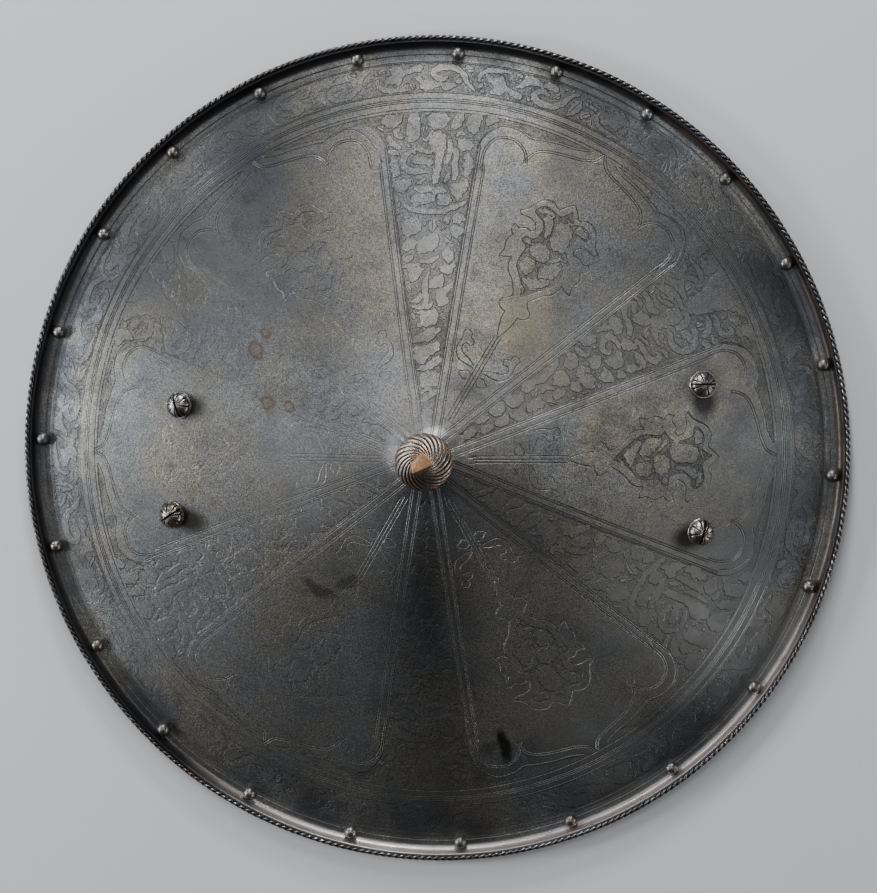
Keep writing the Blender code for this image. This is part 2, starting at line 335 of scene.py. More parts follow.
def bandOutline(axis, shift):
    # The ground of a band, which flares out between the arches at its outer end.
    sides = []
    s = 24.0
    while math.hypot(s, bandHalf(s)) < 0.735 * rimRadius:
        sides.append((s, bandHalf(s) - 1.2))
        s += 4.0
    flare = [(30 - a, r + 0.004) for a, r in archOuter]
    end = [(k, .8185) for k in np.arange(27, -28, -3.0)]
    shape = [along(axis, s, shift - t) for s, t in sides]
    shape += [polar(axis - a, r * rimRadius) for a, r in flare + end]
    shape += [polar(axis + a, r * rimRadius) for a, r in reversed(flare)]
    return shape + [along(axis, s, shift + t) for s, t in reversed(sides)]


# Two drawings for the bands, as (out along the axis, across it). A leaf is a closed outline, and a ribbon
# is a centre line with its half width.
foliage = [
    {
        "leaves": [
            [(28, 0), (31, 2.2), (36, 2.6), (40, 1), (38, -1.6), (33, -2.4)],
            [(42, 4.4), (45, 1.6), (50, 1.6), (53, 4.4), (50, 6), (45, 6)],
            [(42, -4.6), (43, -1), (47, -.6), (52, -2.6), (51, -5.4), (46, -5.6)],
            [(55, 6.8), (55.5, 2.4), (59, .4), (64, 2), (66, 6), (62, 8.2), (58, 8)],
            [(55, -1.6), (59, -2), (63, -1.4), (64, -5), (61, -7.6), (56, -6.6), (54, -4)],
            [(68, 8.6), (67.8, 4), (71, .6), (76, .8), (79.6, 4), (78.6, 7), (74.6, 7), (72.6, 10.2)],
            [(66, -1.4), (69, -2.6), (73, -2), (75.6, -5), (74.6, -9.4), (70, -9), (66.6, -6)],
            [(80.8, 9.6), (82, 6), (86, 5.4), (90, 8), (89.6, 11.4), (86, 12), (82.6, 11.6)],
            [(78, -3.6), (81, -1.4), (86, -1.6), (89, -4.6), (87.6, -8.4), (83.6, -7.6), (79, -7.6)],
            [(79, -9.4), (84, -9.6), (88, -10.6), (86, -11.6), (81, -10.8)],
            [(96, -5.6), (98.5, -4), (102, -4.6), (104.6, -7.6), (101, -9.4), (97, -8.8)],
            [(100.5, 0), (101, 3.5), (104, 6), (108, 6), (110.3, 3), (110.2, -1), (108.5, -4.5), (104, -3.4)],
            [(113, 5), (112, 9), (116, 12), (117.5, 16), (120.5, 13.5), (122, 10), (121, 6), (117, 3.6)],
            [(116, -1.5), (118, 1.2), (122, 1.8), (124.5, -.5), (125.2, -4.4), (122.5, -3.4), (119.5, -3.6),
             (116.5, -4.2)],
            [(115.8, -6.5), (119, -5), (123, -5.2), (125.4, -8.5), (125.2, -11.5), (122.5, -12.5),
             (122.6, -15), (119.5, -14.8), (117, -11.5)],
            [(109.6, -5.6), (113.6, -5), (114.6, -9), (113.5, -12.3), (110, -11.4), (108.3, -8)],
            [(127.6, -1), (128.5, 3), (132, 4.8), (135.5, 3.2), (136, 0), (134, -2.4), (131, -4),
             (128.5, -4)],
            [(129.5, 15.5), (129.2, 18.8), (134, 19.6), (138.5, 19), (140.5, 16.5), (139.8, 13.4),
             (135.5, 12.4), (131.5, 13)],
            [(128, -12), (129.5, -9.5), (132.8, -8.6), (134.5, -5.5), (136.4, -8), (137.6, -13), (137.4, -16),
             (132.5, -15.6)],
            [(138.5, -1.5), (138, -5), (140.5, -9.4), (143.5, -10.8), (147, -10.6), (149, -9.5), (150.5, -5),
             (150, -1), (144, -2.4)],
            [(142.5, 18), (145.5, 20), (150.5, 19.6), (152, 16.6), (150.4, 15), (147.6, 16.6)],
            [(153.2, 13), (153.4, 18), (155.8, 21), (159, 20.4), (161.6, 17), (161.8, 13.5), (159.5, 10),
             (156.5, 8.8), (154.2, 10)],
            [(153.6, 0), (155.8, 3), (158, 4.4), (160.6, 1.6), (162, -2), (163.4, -5), (161, -5.6),
             (158.5, -5), (155, -3.4)],
            [(169.5, 11), (171.5, 13.5), (174.5, 14.4), (178, 13), (180, 9), (178.8, 5), (175.5, 4),
             (172, 6.5)],
            [(158.6, -9), (160.6, -8), (162, -11), (162.8, -16.5), (161.5, -20), (158.8, -20), (158, -15)],
            [(140.2, -16.5), (141, -12.9), (143.5, -12.6), (145.5, -14), (146.3, -17.4), (143, -18)],
            [(148, -14.5), (150, -12.8), (153.5, -13.5), (156.3, -16.5), (157, -19.5), (153.5, -19),
             (149.6, -18)],
            [(176.5, -3), (178.5, 3), (181, 6.5), (185, 5), (187.5, 4.5), (189, 2.5), (191.5, 6.5),
             (195.5, 5), (198.4, 4.5), (198.8, -1), (197, -3.4), (192, -4), (189.5, -2.5), (186, -3),
             (182, -1.8), (180, -4), (178, -8), (176.6, -12), (175.5, -8)],
            [(192.5, -12), (196.3, -11), (197.8, -15), (196.4, -20.4), (194, -18)],
            [(201, -24.5), (204.5, -24), (206, -26.5), (205.2, -29.5), (202, -28.5)],
            [(207.2, -28.6), (208.6, -23.5), (210, -24.5), (210.6, -31), (208, -30)],
            [(203.5, -1.6), (208, -6), (216, -9.4), (224, -13), (230.5, -18), (234.5, -23.6), (237, -23),
             (237.6, -12), (237.6, 0), (237.4, 12), (232, 11), (224, 8.5), (217, 4.6), (209, 4),
             (204.8, 2.4)],
            [(225.4, 14), (229, 13), (234, 14.6), (236.4, 19), (234.6, 24), (231, 22), (228.6, 25.6),
             (225.4, 21)],
            [(224.6, 29), (228, 27.6), (233, 29), (235, 34), (233, 40), (229, 38), (226.4, 33.6)],
            [(224, -19.5), (227.6, -19), (230.4, -22.6), (229.4, -26.6), (226.4, -26)],
            [(223.6, -33), (227, -29.6), (232.6, -29.4), (236, -33), (234.6, -40), (230.4, -41.6),
             (228.6, -36)],
        ],
        "ribbons": [
            [(90, 8.5, 1.2), (96, 8, 2.2), (102, 9.4, 1.8), (108, 11.6, 1.4), (110.5, 14.6, .5)],
            [(90.6, 0, .6), (94, 1.6, 1.5), (97, 0, 1.3), (99, -2.6, .5)],
            [(124.5, 16.6, .8), (125.4, 11.5, 1.5), (127.6, 7.5, 1.3), (131.5, 7, .8)],
            [(151, -1, .5), (152, 4, 1.5), (150.6, 9, 1.9), (146.4, 11.4, 2.0), (141.8, 9.4, 1.9),
             (140.4, 5, 1.8), (142.6, 1.6, 1.5), (146, 1.8, .8)],
            [(171.5, 16.8, 1.0), (174, 18, 1.8), (175, 21.2, 1.9), (171.5, 23.4, 1.9), (167.5, 21.6, 1.8),
             (165.8, 17, 1.7), (165.7, 12, 1.8), (164.3, 7, 1.9), (161.4, 4, 1.0)],
            [(163.6, -.6, .9), (165.4, -3.5, 1.5), (166, -7, 1.6), (165.8, -12, 1.8), (166.7, -17, 2.0),
             (170, -20.3, 2.1), (173.5, -18.6, 1.6), (172.5, -15.8, .5)],
            [(168.4, .4, .8), (169.6, -5, 1.1), (170.4, -9.6, .6)],
            [(176.4, -14.4, .6), (177.6, -18, 1.4), (177.2, -23, 1.0)],
            [(197.5, 24, .8), (200, 19, 1.7), (201.4, 13, 1.5), (201.8, 6, 1.3), (201.6, -1, 1.5),
             (200.2, -6, 2.0), (196, -7.4, 2.0), (191, -7, 1.4)],
            [(200.8, -10.6, 1.0), (201, -14, 1.6), (199.5, -19, 1.9), (196, -23, 2.1), (191, -24, 2.2),
             (186.5, -21, 2.1), (184.5, -16, 1.8), (185.2, -11, 1.5), (187.4, -6.4, .7)],
            [(203, -21.5, 1.0), (206, -20.8, 1.9), (209.7, -18.4, 1.9), (211.6, -14, 1.6), (212.6, -9.8, .5)],
            [(216, -11.8, .6), (216.8, -15, 1.4), (215.2, -19.4, 1.6), (214.8, -24, 1.8), (217.5, -28.6, 1.8),
             (222, -28.3, 1.5), (221.4, -23, .6)],
            [(206, 6, .9), (206, 11, 1.6), (207, 16, 1.8), (210, 19.3, 1.8), (214, 19, 1.8), (217.2, 15, 1.8),
             (217.4, 10.5, 1.6), (216, 7.4, .8)],
            [(220, 11, .6), (221.6, 14, 1.4), (222.6, 18, 1.6), (222, 24, 1.4), (221, 29, .7)],
            [(190.5, 20, .8), (192.6, 14, 1.4), (195.4, 9.6, 1.2), (197.6, 7.2, .5)],
            [(193.6, 25.4, .8), (196.2, 21, 1.3), (197.6, 16, 1.3), (198.4, 10, .7)],
            [(184.5, 26, 1.2), (185, 20, 2.0), (183.6, 14, 2.2), (185.5, 9.6, 1.6), (187, 7.4, .6)],
            [(204.6, 28, .8), (207, 24, 1.3), (211, 23, 1.5), (215, 25, 1.4), (217, 28, .7)],
            [(178.6, 16.6, .6), (179.6, 21, 1.3), (178.6, 25.4, .7)],
        ],
    },
    {
        "leaves": [
            [(28, 2), (32, 3.4), (37, 1.6), (36, -2.6), (31, -3)],
            [(50.5, -1), (50, 4), (54, 5.8), (58, 5.6), (60, 1), (60, -3), (59, -7), (56, -8), (52, -6.5)],
            [(61, 7.5), (63, 5.6), (63.6, 2.5), (66.3, -1.6), (69.3, -4.4), (69.4, -9.4), (66.5, -9.2),
             (64, -5.5), (61.8, -1), (60.8, 3.5)],
            [(64.6, 4), (67, 8), (72, 9), (75.8, 8.8), (76.4, 3), (78, -3), (79.6, -6.6), (78, -8.4),
             (73.8, -7.6), (71.3, -3.4), (67.9, .8)],
            [(79, 9.5), (82, 9.2), (85, 4.5), (87, 1), (88.2, -4), (87.2, -9), (84.5, -6.4), (81, -2.5),
             (79.2, 3)],
            [(89.4, 3), (89.8, 8.3), (93, 5.5), (97.5, 6.2), (99.4, 9), (100.3, 2), (101.4, -3.8), (98, -6),
             (92, -5.4), (90.6, -3)],
            [(116.4, -.8), (119.6, .2), (123.4, -1.9), (125.6, -6), (126, -9), (123, -9.6), (119.2, -9.2),
             (117.5, -4.5)],
            [(104, -6.4), (108.5, -4.2), (112.5, -4.6), (115.4, -5.4), (116.8, -9), (119.3, -13),
             (121.6, -16.6), (117.6, -15.8), (113.5, -12.5), (110.5, -11), (107.6, -13.2), (105, -10.6)],
            [(121.5, 12.5), (125.5, 13.6), (130.8, 14.8), (131.4, 9), (131, 3.2), (127.5, 5.8), (123.5, 8.4)],
            [(127.4, -12), (128.6, -9.4), (131.5, -7), (133.4, -13), (134, -18), (130.5, -16.6), (127, -15)],
            [(135.4, -12.5), (138.5, -9.6), (142, -8.8), (144.8, -11), (143.6, -15), (139.6, -16.6),
             (136.4, -15.4)],
            [(141.8, 4), (141, 8), (144.6, 8), (149, 8.6), (151.4, 5.5), (153.2, 1), (153.8, -4.6),
             (150.4, -5.8), (146.5, -5.2), (143.9, -2.5), (142.4, 0)],
            [(142.8, 17.4), (145, 19), (150.4, 16.8), (151.4, 12.8), (149, 10), (145.8, 10.4), (144, 13.4)],
            [(152.8, 14), (153.4, 18.2), (157, 20), (161.5, 18.8), (164.7, 14.8), (165.6, 10.8), (162, 8.2),
             (158.6, 7), (155.4, 9)],
            [(151.4, -18), (153.8, -14.8), (157.5, -13), (159.8, -15.8), (158.6, -20), (157.4, -23.4),
             (154.4, -21.4)],
            [(160.6, -18.6), (162, -15.2), (164.6, -14.2), (168, -18), (166.2, -21.4), (164, -23)],
            [(160.6, -10.4), (163.8, -8.6), (165.4, -9), (165.6, -12.4), (162, -12)],
            [(172.4, 11.6), (176, 14), (179, 12), (179.4, 5), (179.2, -2.6), (177, -2.4), (175, -1.6),
             (173.6, 4)],
            [(172.6, -5), (175.4, -4), (178.8, -5), (179.2, -11), (176.4, -14), (173.4, -11.6)],
            [(180.4, 19.6), (182.8, 25), (187, 25.6), (189, 21), (189.2, 14.6), (186.4, 13.6), (183.4, 16.6)],
            [(191.4, 26.8), (198, 27.8), (204, 28.4), (203, 25), (198.6, 23.4), (194.6, 21.4), (192, 22.4)],
            [(201.5, 14), (200, 8), (198.8, 3), (199.6, -.4), (203.6, 0), (203.4, 4), (204.6, 9), (204, 13)],
            [(186, -2), (190, -.6), (197, -1.8), (206, -2.4), (214, 3), (221, .6), (223.6, -2), (221.6, -7.8),
             (212, -8.4), (200, -6.5), (190, -5.4)],
            [(215.8, 16.4), (219, 18.4), (228, 18.4), (235.6, 16.4), (236.6, 10.6), (230, 9.6), (219, 10)],
            [(225.4, 0), (231, 4), (236.2, 1.6), (236.6, -7), (233.4, -11.4), (229, -9), (225.8, -5)],
            [(175.6, -17.8), (179, -15.6), (184, -13), (186.8, -15), (186.4, -19.4), (188.8, -23),
             (188.6, -25.6), (184, -25.2), (180, -21.8)],
            [(191.4, -25), (192, -21.8), (196.6, -22.8), (199, -20.8), (201.6, -22.8), (205, -21.8),
             (207.4, -24), (205.4, -26.8), (200, -28.6), (194, -27.4)],
            [(209.6, -22.4), (210.4, -19.2), (215, -17), (218.2, -19.6), (216.6, -25.4), (212, -28)],
            [(221.8, -28.6), (224.6, -24.2), (230, -23), (236, -27.4), (235.2, -33.6), (229.6, -32.6),
             (224.6, -30.8)],
            [(227.5, 33), (226.8, 28), (229, 24), (235, 21.6), (235.8, 27), (234.4, 34.6), (231, 36.4)],
            [(226, -12.6), (230.6, -13.6), (235.6, -16), (236, -20.6), (230, -20), (226, -17)],
            [(228, -37), (233, -36.4), (235, -40), (232.6, -45), (229.6, -42)],
        ],
        "ribbons": [
            [(40.6, 5, .5), (44, 0, 1.5), (47.4, -5.4, 1.2), (48.4, -8, .5)],
            [(46, 5.6, .5), (48.4, 2, 1.1), (48.6, -2.4, .6)],
            [(113.6, 7.2, .8), (110, 6.9, 1.5), (107.3, 9.2, 1.6), (108, 12.7, .8)],
            [(103.6, 6.4, .6), (105.4, 3.4, 1.3), (110.6, 2.6, 1.8), (117, 3.4, 1.9), (123, 2.4, 1.5),
             (128.8, -.6, .5)],
            [(103, 12.4, .7), (102.6, 6, 1.0), (103.6, 0, 1.2), (107.6, -2.2, .6)],
            [(136, 17.4, 1.4), (137.6, 13.5, 1.9), (139.2, 10.8, .7)],
            [(136.4, 7, .9), (135.6, 2, 1.3), (137.4, -3, 1.4), (140.2, -6.8, .6)],
            [(174.5, 20.4, 1.0), (170.2, 15, 1.4), (168.8, 8, 1.4), (168.6, 0, 1.5), (168.6, -8, 1.5),
             (171, -14, 1.6), (173, -20, 1.2), (174.6, -24.6, .5)],
            [(183.5, 12.8, .6), (182.8, 8, 1.6), (182.6, 0, 1.8), (181.9, -7, 1.6), (181.6, -11, .6)],
            [(194.8, 3, .8), (194.4, 10, 1.6), (195.6, 16, 1.8), (199.6, 19.6, 2.0), (205, 19.4, 1.9),
             (208.8, 15.6, 1.2), (207.4, 11.4, .5)],
            [(207.6, 0, .7), (208.8, 4, 1.4), (210, 9, 1.4), (210.4, 14, .5)],
            [(186.4, 9.6, .5), (188.4, 6, 1.1), (190.6, 3, .5)],
            [(218.4, 7.8, .6), (217.8, 4.8, 1.0), (219.8, 2.6, .9), (223.6, 3, .5)],
            [(188.8, -15.4, .7), (193, -16.4, 1.8), (200, -16, 1.9), (207, -16.6, 1.7), (211.6, -14.8, .7)],
            [(187, -8.6, .6), (190, -11, 1.3), (194, -12.2, .8)],
            [(199, -9, .6), (205, -11.4, 1.4), (212, -12, 1.5), (218, -11.2, .7)],
            [(219.6, 20.8, .7), (219.6, 24.6, 1.3), (223, 26.6, 1.4), (225.4, 23, 1.0)],
            [(211, 22, .7), (213, 26, 1.6), (217, 30.6, 1.7), (221, 32, .8)],
            [(206.6, 22.8, .6), (207.6, 27, 1.3), (209, 31.6, .8)],
            [(219.6, -15, .6), (221.6, -18, 1.3), (221.4, -22, .6)],
            [(131.6, 18, .5), (133, 12, 1.0), (133.2, 6, .6)],
        ],
    },
]


def fillWithLeaves(plan, where, rng, tries, turnAt):
    for size in ornament["fillSizes"]:
        for _ in range(tries):
            x, y = where()
            if not plan.free[int((y + planHalf) / cell), int((x + planHalf) / cell)]:
                continue
            turn = turnAt(x, y) + rng.uniform(-1.3, 1.3)
            shape, vein = leafShape(x, y, turn, size * rng.uniform(.85, 1.1), rng.choice((2, 3, 4)),
                                    rng.uniform(-1.9, 1.9))
            if plan.hasRoom(shape):
                plan.leave(shape)
                if size > ornament["veinedFrom"]:
                    plan.line(vein[::3])


def drawBand(plan, axis, shift, drawing, side, rng):
    plan.sinkGround(bandOutline(axis, shift))
    sway = rng.uniform(0, 6)

    def place(points):
        # Each band strays a little from the drawing.
        out = []
        for s, t, *rest in points:
            s += 1.2 * math.sin(s / 17 + sway)
            t += .5 * math.sin(s / 9 + 2 * sway)
            out.append(along(axis, s, side * t + shift) + tuple(rest))
        return out

    for points in foliage[drawing]["leaves"]:
        plan.leave(offsetLoop(curveThrough(place(points), 1.1, True), ornament["leafGrowth"]))
    for points in foliage[drawing]["ribbons"]:
        plan.leave(ribbonShape(place([(s, t, w + .15) for s, t, w in points]), 1.0), False)

    def where():
        return along(axis, rng.uniform(25, 238), rng.uniform(-1, 1) * (120 if rng.random() < .3 else 36))

    fillWithLeaves(plan, where, rng, ornament["bandTries"], lambda x, y: math.atan2(y, x))


# The border's motif, as (share of a wave, height and half width as shares of half the border): a stem that
# turns over into a scroll, two lobed leaves that grow from it, and a spray.
borderMotif = {
    "stem": [(-.10, -.78, .04), (-.02, -.34, .13), (.02, .20, .17), (.10, .62, .19), (.21, .68, .20),
             (.29, .40, .20), (.28, .04, .18), (.21, -.12, .16), (.16, .06, .06)],
    "leaves": [[(.09, -.34), (.11, -.74), (.18, -.86), (.24, -.60), (.31, -.86), (.40, -.84), (.42, -.40),
                (.47, .02), (.42, .10), (.37, -.18), (.30, -.30), (.18, -.34)],
               [(.40, .46), (.46, .34), (.55, .12), (.60, -.50), (.66, -.30), (.74, -.44), (.73, .04),
                (.66, .34), (.70, .70), (.60, .84), (.54, .56), (.46, .84), (.39, .80)]],
    "spray": [(.52, -.80, .04), (.62, -.78, .13), (.72, -.72, .16), (.79, -.40, .15), (.80, -.02, .10),
              (.78, .14, .03)],
}


def drawBorder(plan, rng):
    # The leafy border between the ring lines.
    inner, outer = ornament["borderInner"] * rimRadius, ornament["borderOuter"] * rimRadius
    degrees = np.arange(0, 360, 1.5)
    circles = [np.array([polar(d, r) for d in degrees]) for r in (outer, inner)]
    ys, xs, mask = cellsInside(circles[0])
    holeYs, holeXs, hole = cellsInside(circles[1])
    rows = slice(holeYs.start - ys.start, holeYs.stop - ys.start)
    mask[rows, holeXs.start - xs.start:holeXs.stop - xs.start] ^= hole
    plan.sunk[ys, xs] |= mask
    plan.free[ys, xs] |= mask & ~grown(~mask, 0.6 / cell)
    plan.walls += [(circles[0], -1), (circles[1], 1)]
    waves = ornament["borderWaves"]
    middle, half = (inner + outer) / 2, (outer - inner) / 2
    for k in range(waves):
        sign = 1 if k % 2 else -1
        start = k + rng.uniform(-.12, .12)

        def put(u, v, w=0):
            return polar(360 * (start + u) / waves, middle + sign * v * half) + (w * half,)

        plan.leave(ribbonShape([put(*p) for p in borderMotif["stem"]], 1.2), False)
        for points in borderMotif["leaves"]:
            plan.leave(curveThrough([put(*p)[:2] for p in points], 1.2, True))
        plan.leave(ribbonShape([put(*p) for p in borderMotif["spray"]], 1.2), False)

    def where():
        return polar(rng.uniform(0, 360), rng.uniform(inner, outer))

    fillWithLeaves(plan, where, rng, ornament["borderTries"], lambda x, y: math.atan2(y, x) + math.pi / 2)


# A cartouche, as (out along the panel, across it): one half of its outline, which the other half mirrors,
# and the leaves inside it.
cartouche = {
    "outline": [(199.6, 0), (195.6, 4.2), (191.8, 7.4), (192.2, 10), (193.8, 13.4), (193, 18.2), (190.2, 22),
                (185.4, 24.6), (181, 27.2), (178, 31.4), (176.0, 28.6), (176.8, 23), (175.4, 17.6),
                (171.4, 15), (169.4, 17), (169.8, 21), (167.2, 25.2), (168.5, 29.2), (164.3, 29.8),
                (161.1, 26.2), (158.4, 28.2), (154.4, 28.6), (150.2, 26.8), (147, 27.4), (144.4, 28),
                (145.6, 23.4), (148.2, 19.8), (144, 19.6), (139, 17.2), (134.6, 11.6), (130, 8), (126, 5.6)],
    "corners": (0, 2, 9, 13, 17, 19, 24, 26, 31),
    "ground": [(127.5, 0), (131, 2.6), (136, 5.4), (140.5, 10.2), (145, 14.4), (151, 15.2), (158.4, 15),
               (160.4, 19.4), (164.4, 19), (165.6, 13.4), (170, 11), (176, 11.4), (179.6, 15.4),
               (181.6, 21.4), (186.6, 20.6), (189.4, 15), (188.6, 9), (188, 4.6), (191.4, 1.6), (194.6, -1),
               (190.8, -3.6), (188, -6.4), (189.4, -11), (188.4, -17), (185, -21.2), (181.8, -20.2),
               (181, -15), (177.6, -13), (171, -12), (165.8, -13.4), (162, -18.4), (159.6, -15.8), (153, -16),
               (147, -16.2), (140.4, -12.4), (134, -6.6)],
    "leaves": [
        [(155.5, -1), (154.7, 4), (156.2, 9.6), (160, 11.6), (163.6, 9.2), (165.4, 5), (164.6, .8),
         (160.2, -2)],
        [(142.8, 4.6), (142.9, 9), (146, 12), (150.8, 12.2), (153.2, 9), (152, 3.8), (147.6, 2.8)],
        [(136.4, 1), (135.2, -3.6), (139, -7.6), (144.8, -12), (146, -10.8), (143, -4), (140.4, 2.6),
         (138.6, 5.6)],
        [(145, -3), (147, -9), (150, -13), (156, -13.6), (159.8, -12.2), (157.2, -8), (154, -4.2),
         (150, -1.6)],
        [(166.8, 0), (166.4, -6), (167.8, -9.8), (172, -9.6), (177, -8.8), (181, -8.2), (184.6, -5),
         (184.8, 0), (181.8, 3.4), (177, 3.2), (171, 2.8)],
        [(169.8, 7.4), (174, 8.2), (178, 11.2), (182.3, 14.6), (184.1, 12), (182.6, 8), (178, 6), (172, 5.8)],
        [(185.2, 8), (187, 11.2), (186.8, 15.6), (184, 19.6), (183.4, 18), (185.2, 14)],
        [(183.2, -10), (187, -10), (187, -15), (184, -18.8), (182.8, -14)],
        [(161, 14), (163.2, 13.6), (162.8, 17.6), (161.3, 17.4)],
        [(168, -10.9), (172, -11), (169.6, -11.8)],
    ],
    "ribbons": [
        [(157.2, -4.6, .5), (159.6, -7, .9), (162.6, -10.8, .9), (162.8, -15, .4)],
        [(147, -.4, .4), (150, .8, .8), (153.4, .6, .4)],
        [(129.6, .2, .4), (132.4, 1.6, .8), (134.4, 3.4, .4)],
        [(189.2, .6, .4), (187.4, -2.6, .8), (187.2, -6, .4)],
    ],
    "hearts": [[(98, 1.2), (103, 3), (109, 4.6), (114, 4.9)],
               [(114, 4.9), (114.4, 8), (117.2, 11.4), (121, 10.6), (123, 7.6), (126, 5.6)]],
    "tendrils": [
        [(70, 4.6), (70, 12), (71.5, 17), (76, 20.4), (81, 21), (85.6, 20.6), (89, 22), (91, 19.4),
         (90, 16.2), (87, 15.6), (86.4, 12.8), (84.2, 11.6), (82, 13.2), (82.4, 16.2), (80.4, 17.8),
         (77.4, 17.2), (75.4, 14.4), (74, 9), (71.4, 4)],
        [(61.5, 3.2), (60, 6), (61.3, 8.2), (61.8, 10), (63.5, 10.8), (64.8, 8.8), (66.4, 7), (66.6, 4.6),
         (65.4, 3)],
    ],
    "stem": (34.0, 96.0, 2.3),
}


def drawCartouche(plan, centre, flip):
    def place(points, side):
        return [along(centre, p[0], side * p[1]) + tuple(p[2:]) for p in points]

    marks = cartouche["corners"]
    half = np.vstack([curveThrough(cartouche["outline"][a:b + 1], 1.2) for a, b in zip(marks, marks[1:])])
    plan.sinkGround(curveThrough(place(cartouche["ground"], flip), 1.2, True))
    for points in cartouche["leaves"]:
        plan.leave(offsetLoop(curveThrough(place(points, flip), 1.0, True), ornament["leafGrowth"]))
    for points in cartouche["ribbons"]:
        plan.leave(ribbonShape(place(points, flip), 0.9), False)
    near, far, spread = cartouche["stem"]
    for side in (1, -1):
        plan.line(place(half, side))
        for points in cartouche["hearts"] + cartouche["tendrils"]:
            plan.line(curveThrough(place(points, side), 1.2))
        plan.line([along(centre, s, side * spread) for s in np.linspace(near, far, 12)])
    plan.line([along(centre, s, 0) for s in np.linspace(near, far, 12)])


def drawOrnament():
    plan = Plan()
    rng = random.Random(ornament["seed"])
    for share in ornament["ringShares"]:
        plan.line([polar(d, share * rimRadius) for d in range(361)])
    for axis, shift, drawing, side in ornament["bands"]:
        drawStrips(plan, axis, shift)
        drawBand(plan, axis, shift, drawing, side, rng)
    for index, centre in enumerate(ornament["panelAxes"]):
        drawPanelEdge(plan, centre)
        drawCartouche(plan, centre, -1 if index in (1, 4) else 1)
    drawBorder(plan, rng)
    return plan


# Materials

def addNode(tree, kind, inputs=None, **settings):
    # A node with its settings, and its inputs by name or number: a value, or a socket to link.
    node = tree.nodes.new(kind)
    for name, value in settings.items():
        setattr(node, name, value)
    for key, value in (inputs or {}).items():
        if isinstance(value, bpy.types.NodeSocket):
            tree.links.new(value, node.inputs[key])
        else:
            node.inputs[key].default_value = value
    return node


def math2(tree, operation, a, b=0.0, clamp=False):
    return addNode(tree, "ShaderNodeMath", {0: a, 1: b}, operation=operation, use_clamp=clamp).outputs[0]


def remap(tree, value, fromLow, fromHigh, toLow=0.0, toHigh=1.0):
    return addNode(tree, "ShaderNodeMapRange", {"Value": value, "From Min": fromLow, "From Max": fromHigh,
                                                "To Min": toLow, "To Max": toHigh}).outputs[0]


def times(tree, *factors):
    # The product of masks and numbers.
    product = factors[0]
    for factor in factors[1:]:
        product = math2(tree, "MULTIPLY", product, factor)
    return product


def vectorMath(tree, operation, *vectors):
    node = addNode(tree, "ShaderNodeVectorMath", dict(enumerate(vectors)), operation=operation)
    return node.outputs["Value" if operation in ("LENGTH", "DOT_PRODUCT") else "Vector"]


def facingAlong(tree, direction):
    # How far a face looks along a direction.
    normal = addNode(tree, "ShaderNodeNewGeometry").outputs["True Normal"]
    return vectorMath(tree, "DOT_PRODUCT", normal, direction)


def mixColor(tree, share, a, b):
    node = addNode(tree, "ShaderNodeMix", {"Factor": share}, data_type="RGBA")
    for key, value in ((6, a), (7, b)):
        if isinstance(value, bpy.types.NodeSocket):
            tree.links.new(value, node.inputs[key])
        else:
            node.inputs[key].default_value = (*value, 1.0)
    return node.outputs[2]


def paint(tree, color, mask, share, tint):
    # The color with a share of a tint over it where the mask is.
    return mixColor(tree, times(tree, mask, share), color, tint)


def noise(tree, place, scale, detail=3.0, roughness=0.55):
    return addNode(tree, "ShaderNodeTexNoise", {"Vector": place, "Scale": scale, "Detail": detail,
                                                "Roughness": roughness}).outputs["Fac"]


def agedSteelGroup():
    # Old bare steel: mottled colour, uneven polish and fine pits.
    group = bpy.data.node_groups.new("agedSteel", "ShaderNodeTree")
    sockets = [("INPUT", "Place", "Vector")] + [("INPUT", name, "Color") for name in ("Cool", "Warm", "Dark")]
    sockets += [("INPUT", name, "Float") for name in ("Cloud scale", "Darkening", "Polish", "Grain")]
    sockets += [("OUTPUT", "Color", "Color"), ("OUTPUT", "Roughness", "Float"), ("OUTPUT", "Height", "Float")]
    for way, name, kind in sockets:
        group.interface.new_socket(name, in_out=way, socket_type="NodeSocket" + kind)
    inputs = group.nodes.new("NodeGroupInput").outputs
    place = inputs["Place"]
    cloud = noise(group, place, inputs["Cloud scale"], 3.0)
    blotch = noise(group, place, 55.0, 5.0, 0.62)
    fine = noise(group, place, 420.0, 4.0, 0.7)
    grain = noise(group, place, 1250.0, 1.5, 0.6)
    color = mixColor(group, remap(group, cloud, 0.40, 0.62), inputs["Cool"], inputs["Warm"])
    dark = math2(group, "MULTIPLY", remap(group, blotch, 0.42, 0.72), inputs["Darkening"], True)
    color = mixColor(group, dark, color, inputs["Dark"])
    shade = times(group, remap(group, fine, 0.30, 0.70, 0.74, 1.24),
                  remap(group, grain, 0.36, 0.64, 0.46, 1.50))
    shade = remap(group, inputs["Grain"], 0.0, 1.0, 1.0, shade)
    color = vectorMath(group, "MULTIPLY", color, shade)
    rough = math2(group, "ADD", inputs["Polish"], remap(group, blotch, 0.35, 0.70, -0.06, 0.10))
    rough = math2(group, "ADD", rough, remap(group, fine, 0.30, 0.70, 0.05, -0.05))
    height = math2(group, "ADD", remap(group, fine, 0.30, 0.60, -0.6, 0.0),
                   remap(group, grain, 0.3, 0.7, -0.4, 0.0))
    out = group.nodes.new("NodeGroupOutput").inputs
    for name, value in (("Color", color), ("Roughness", rough), ("Height", height)):
        group.links.new(value, out[name])
    return group


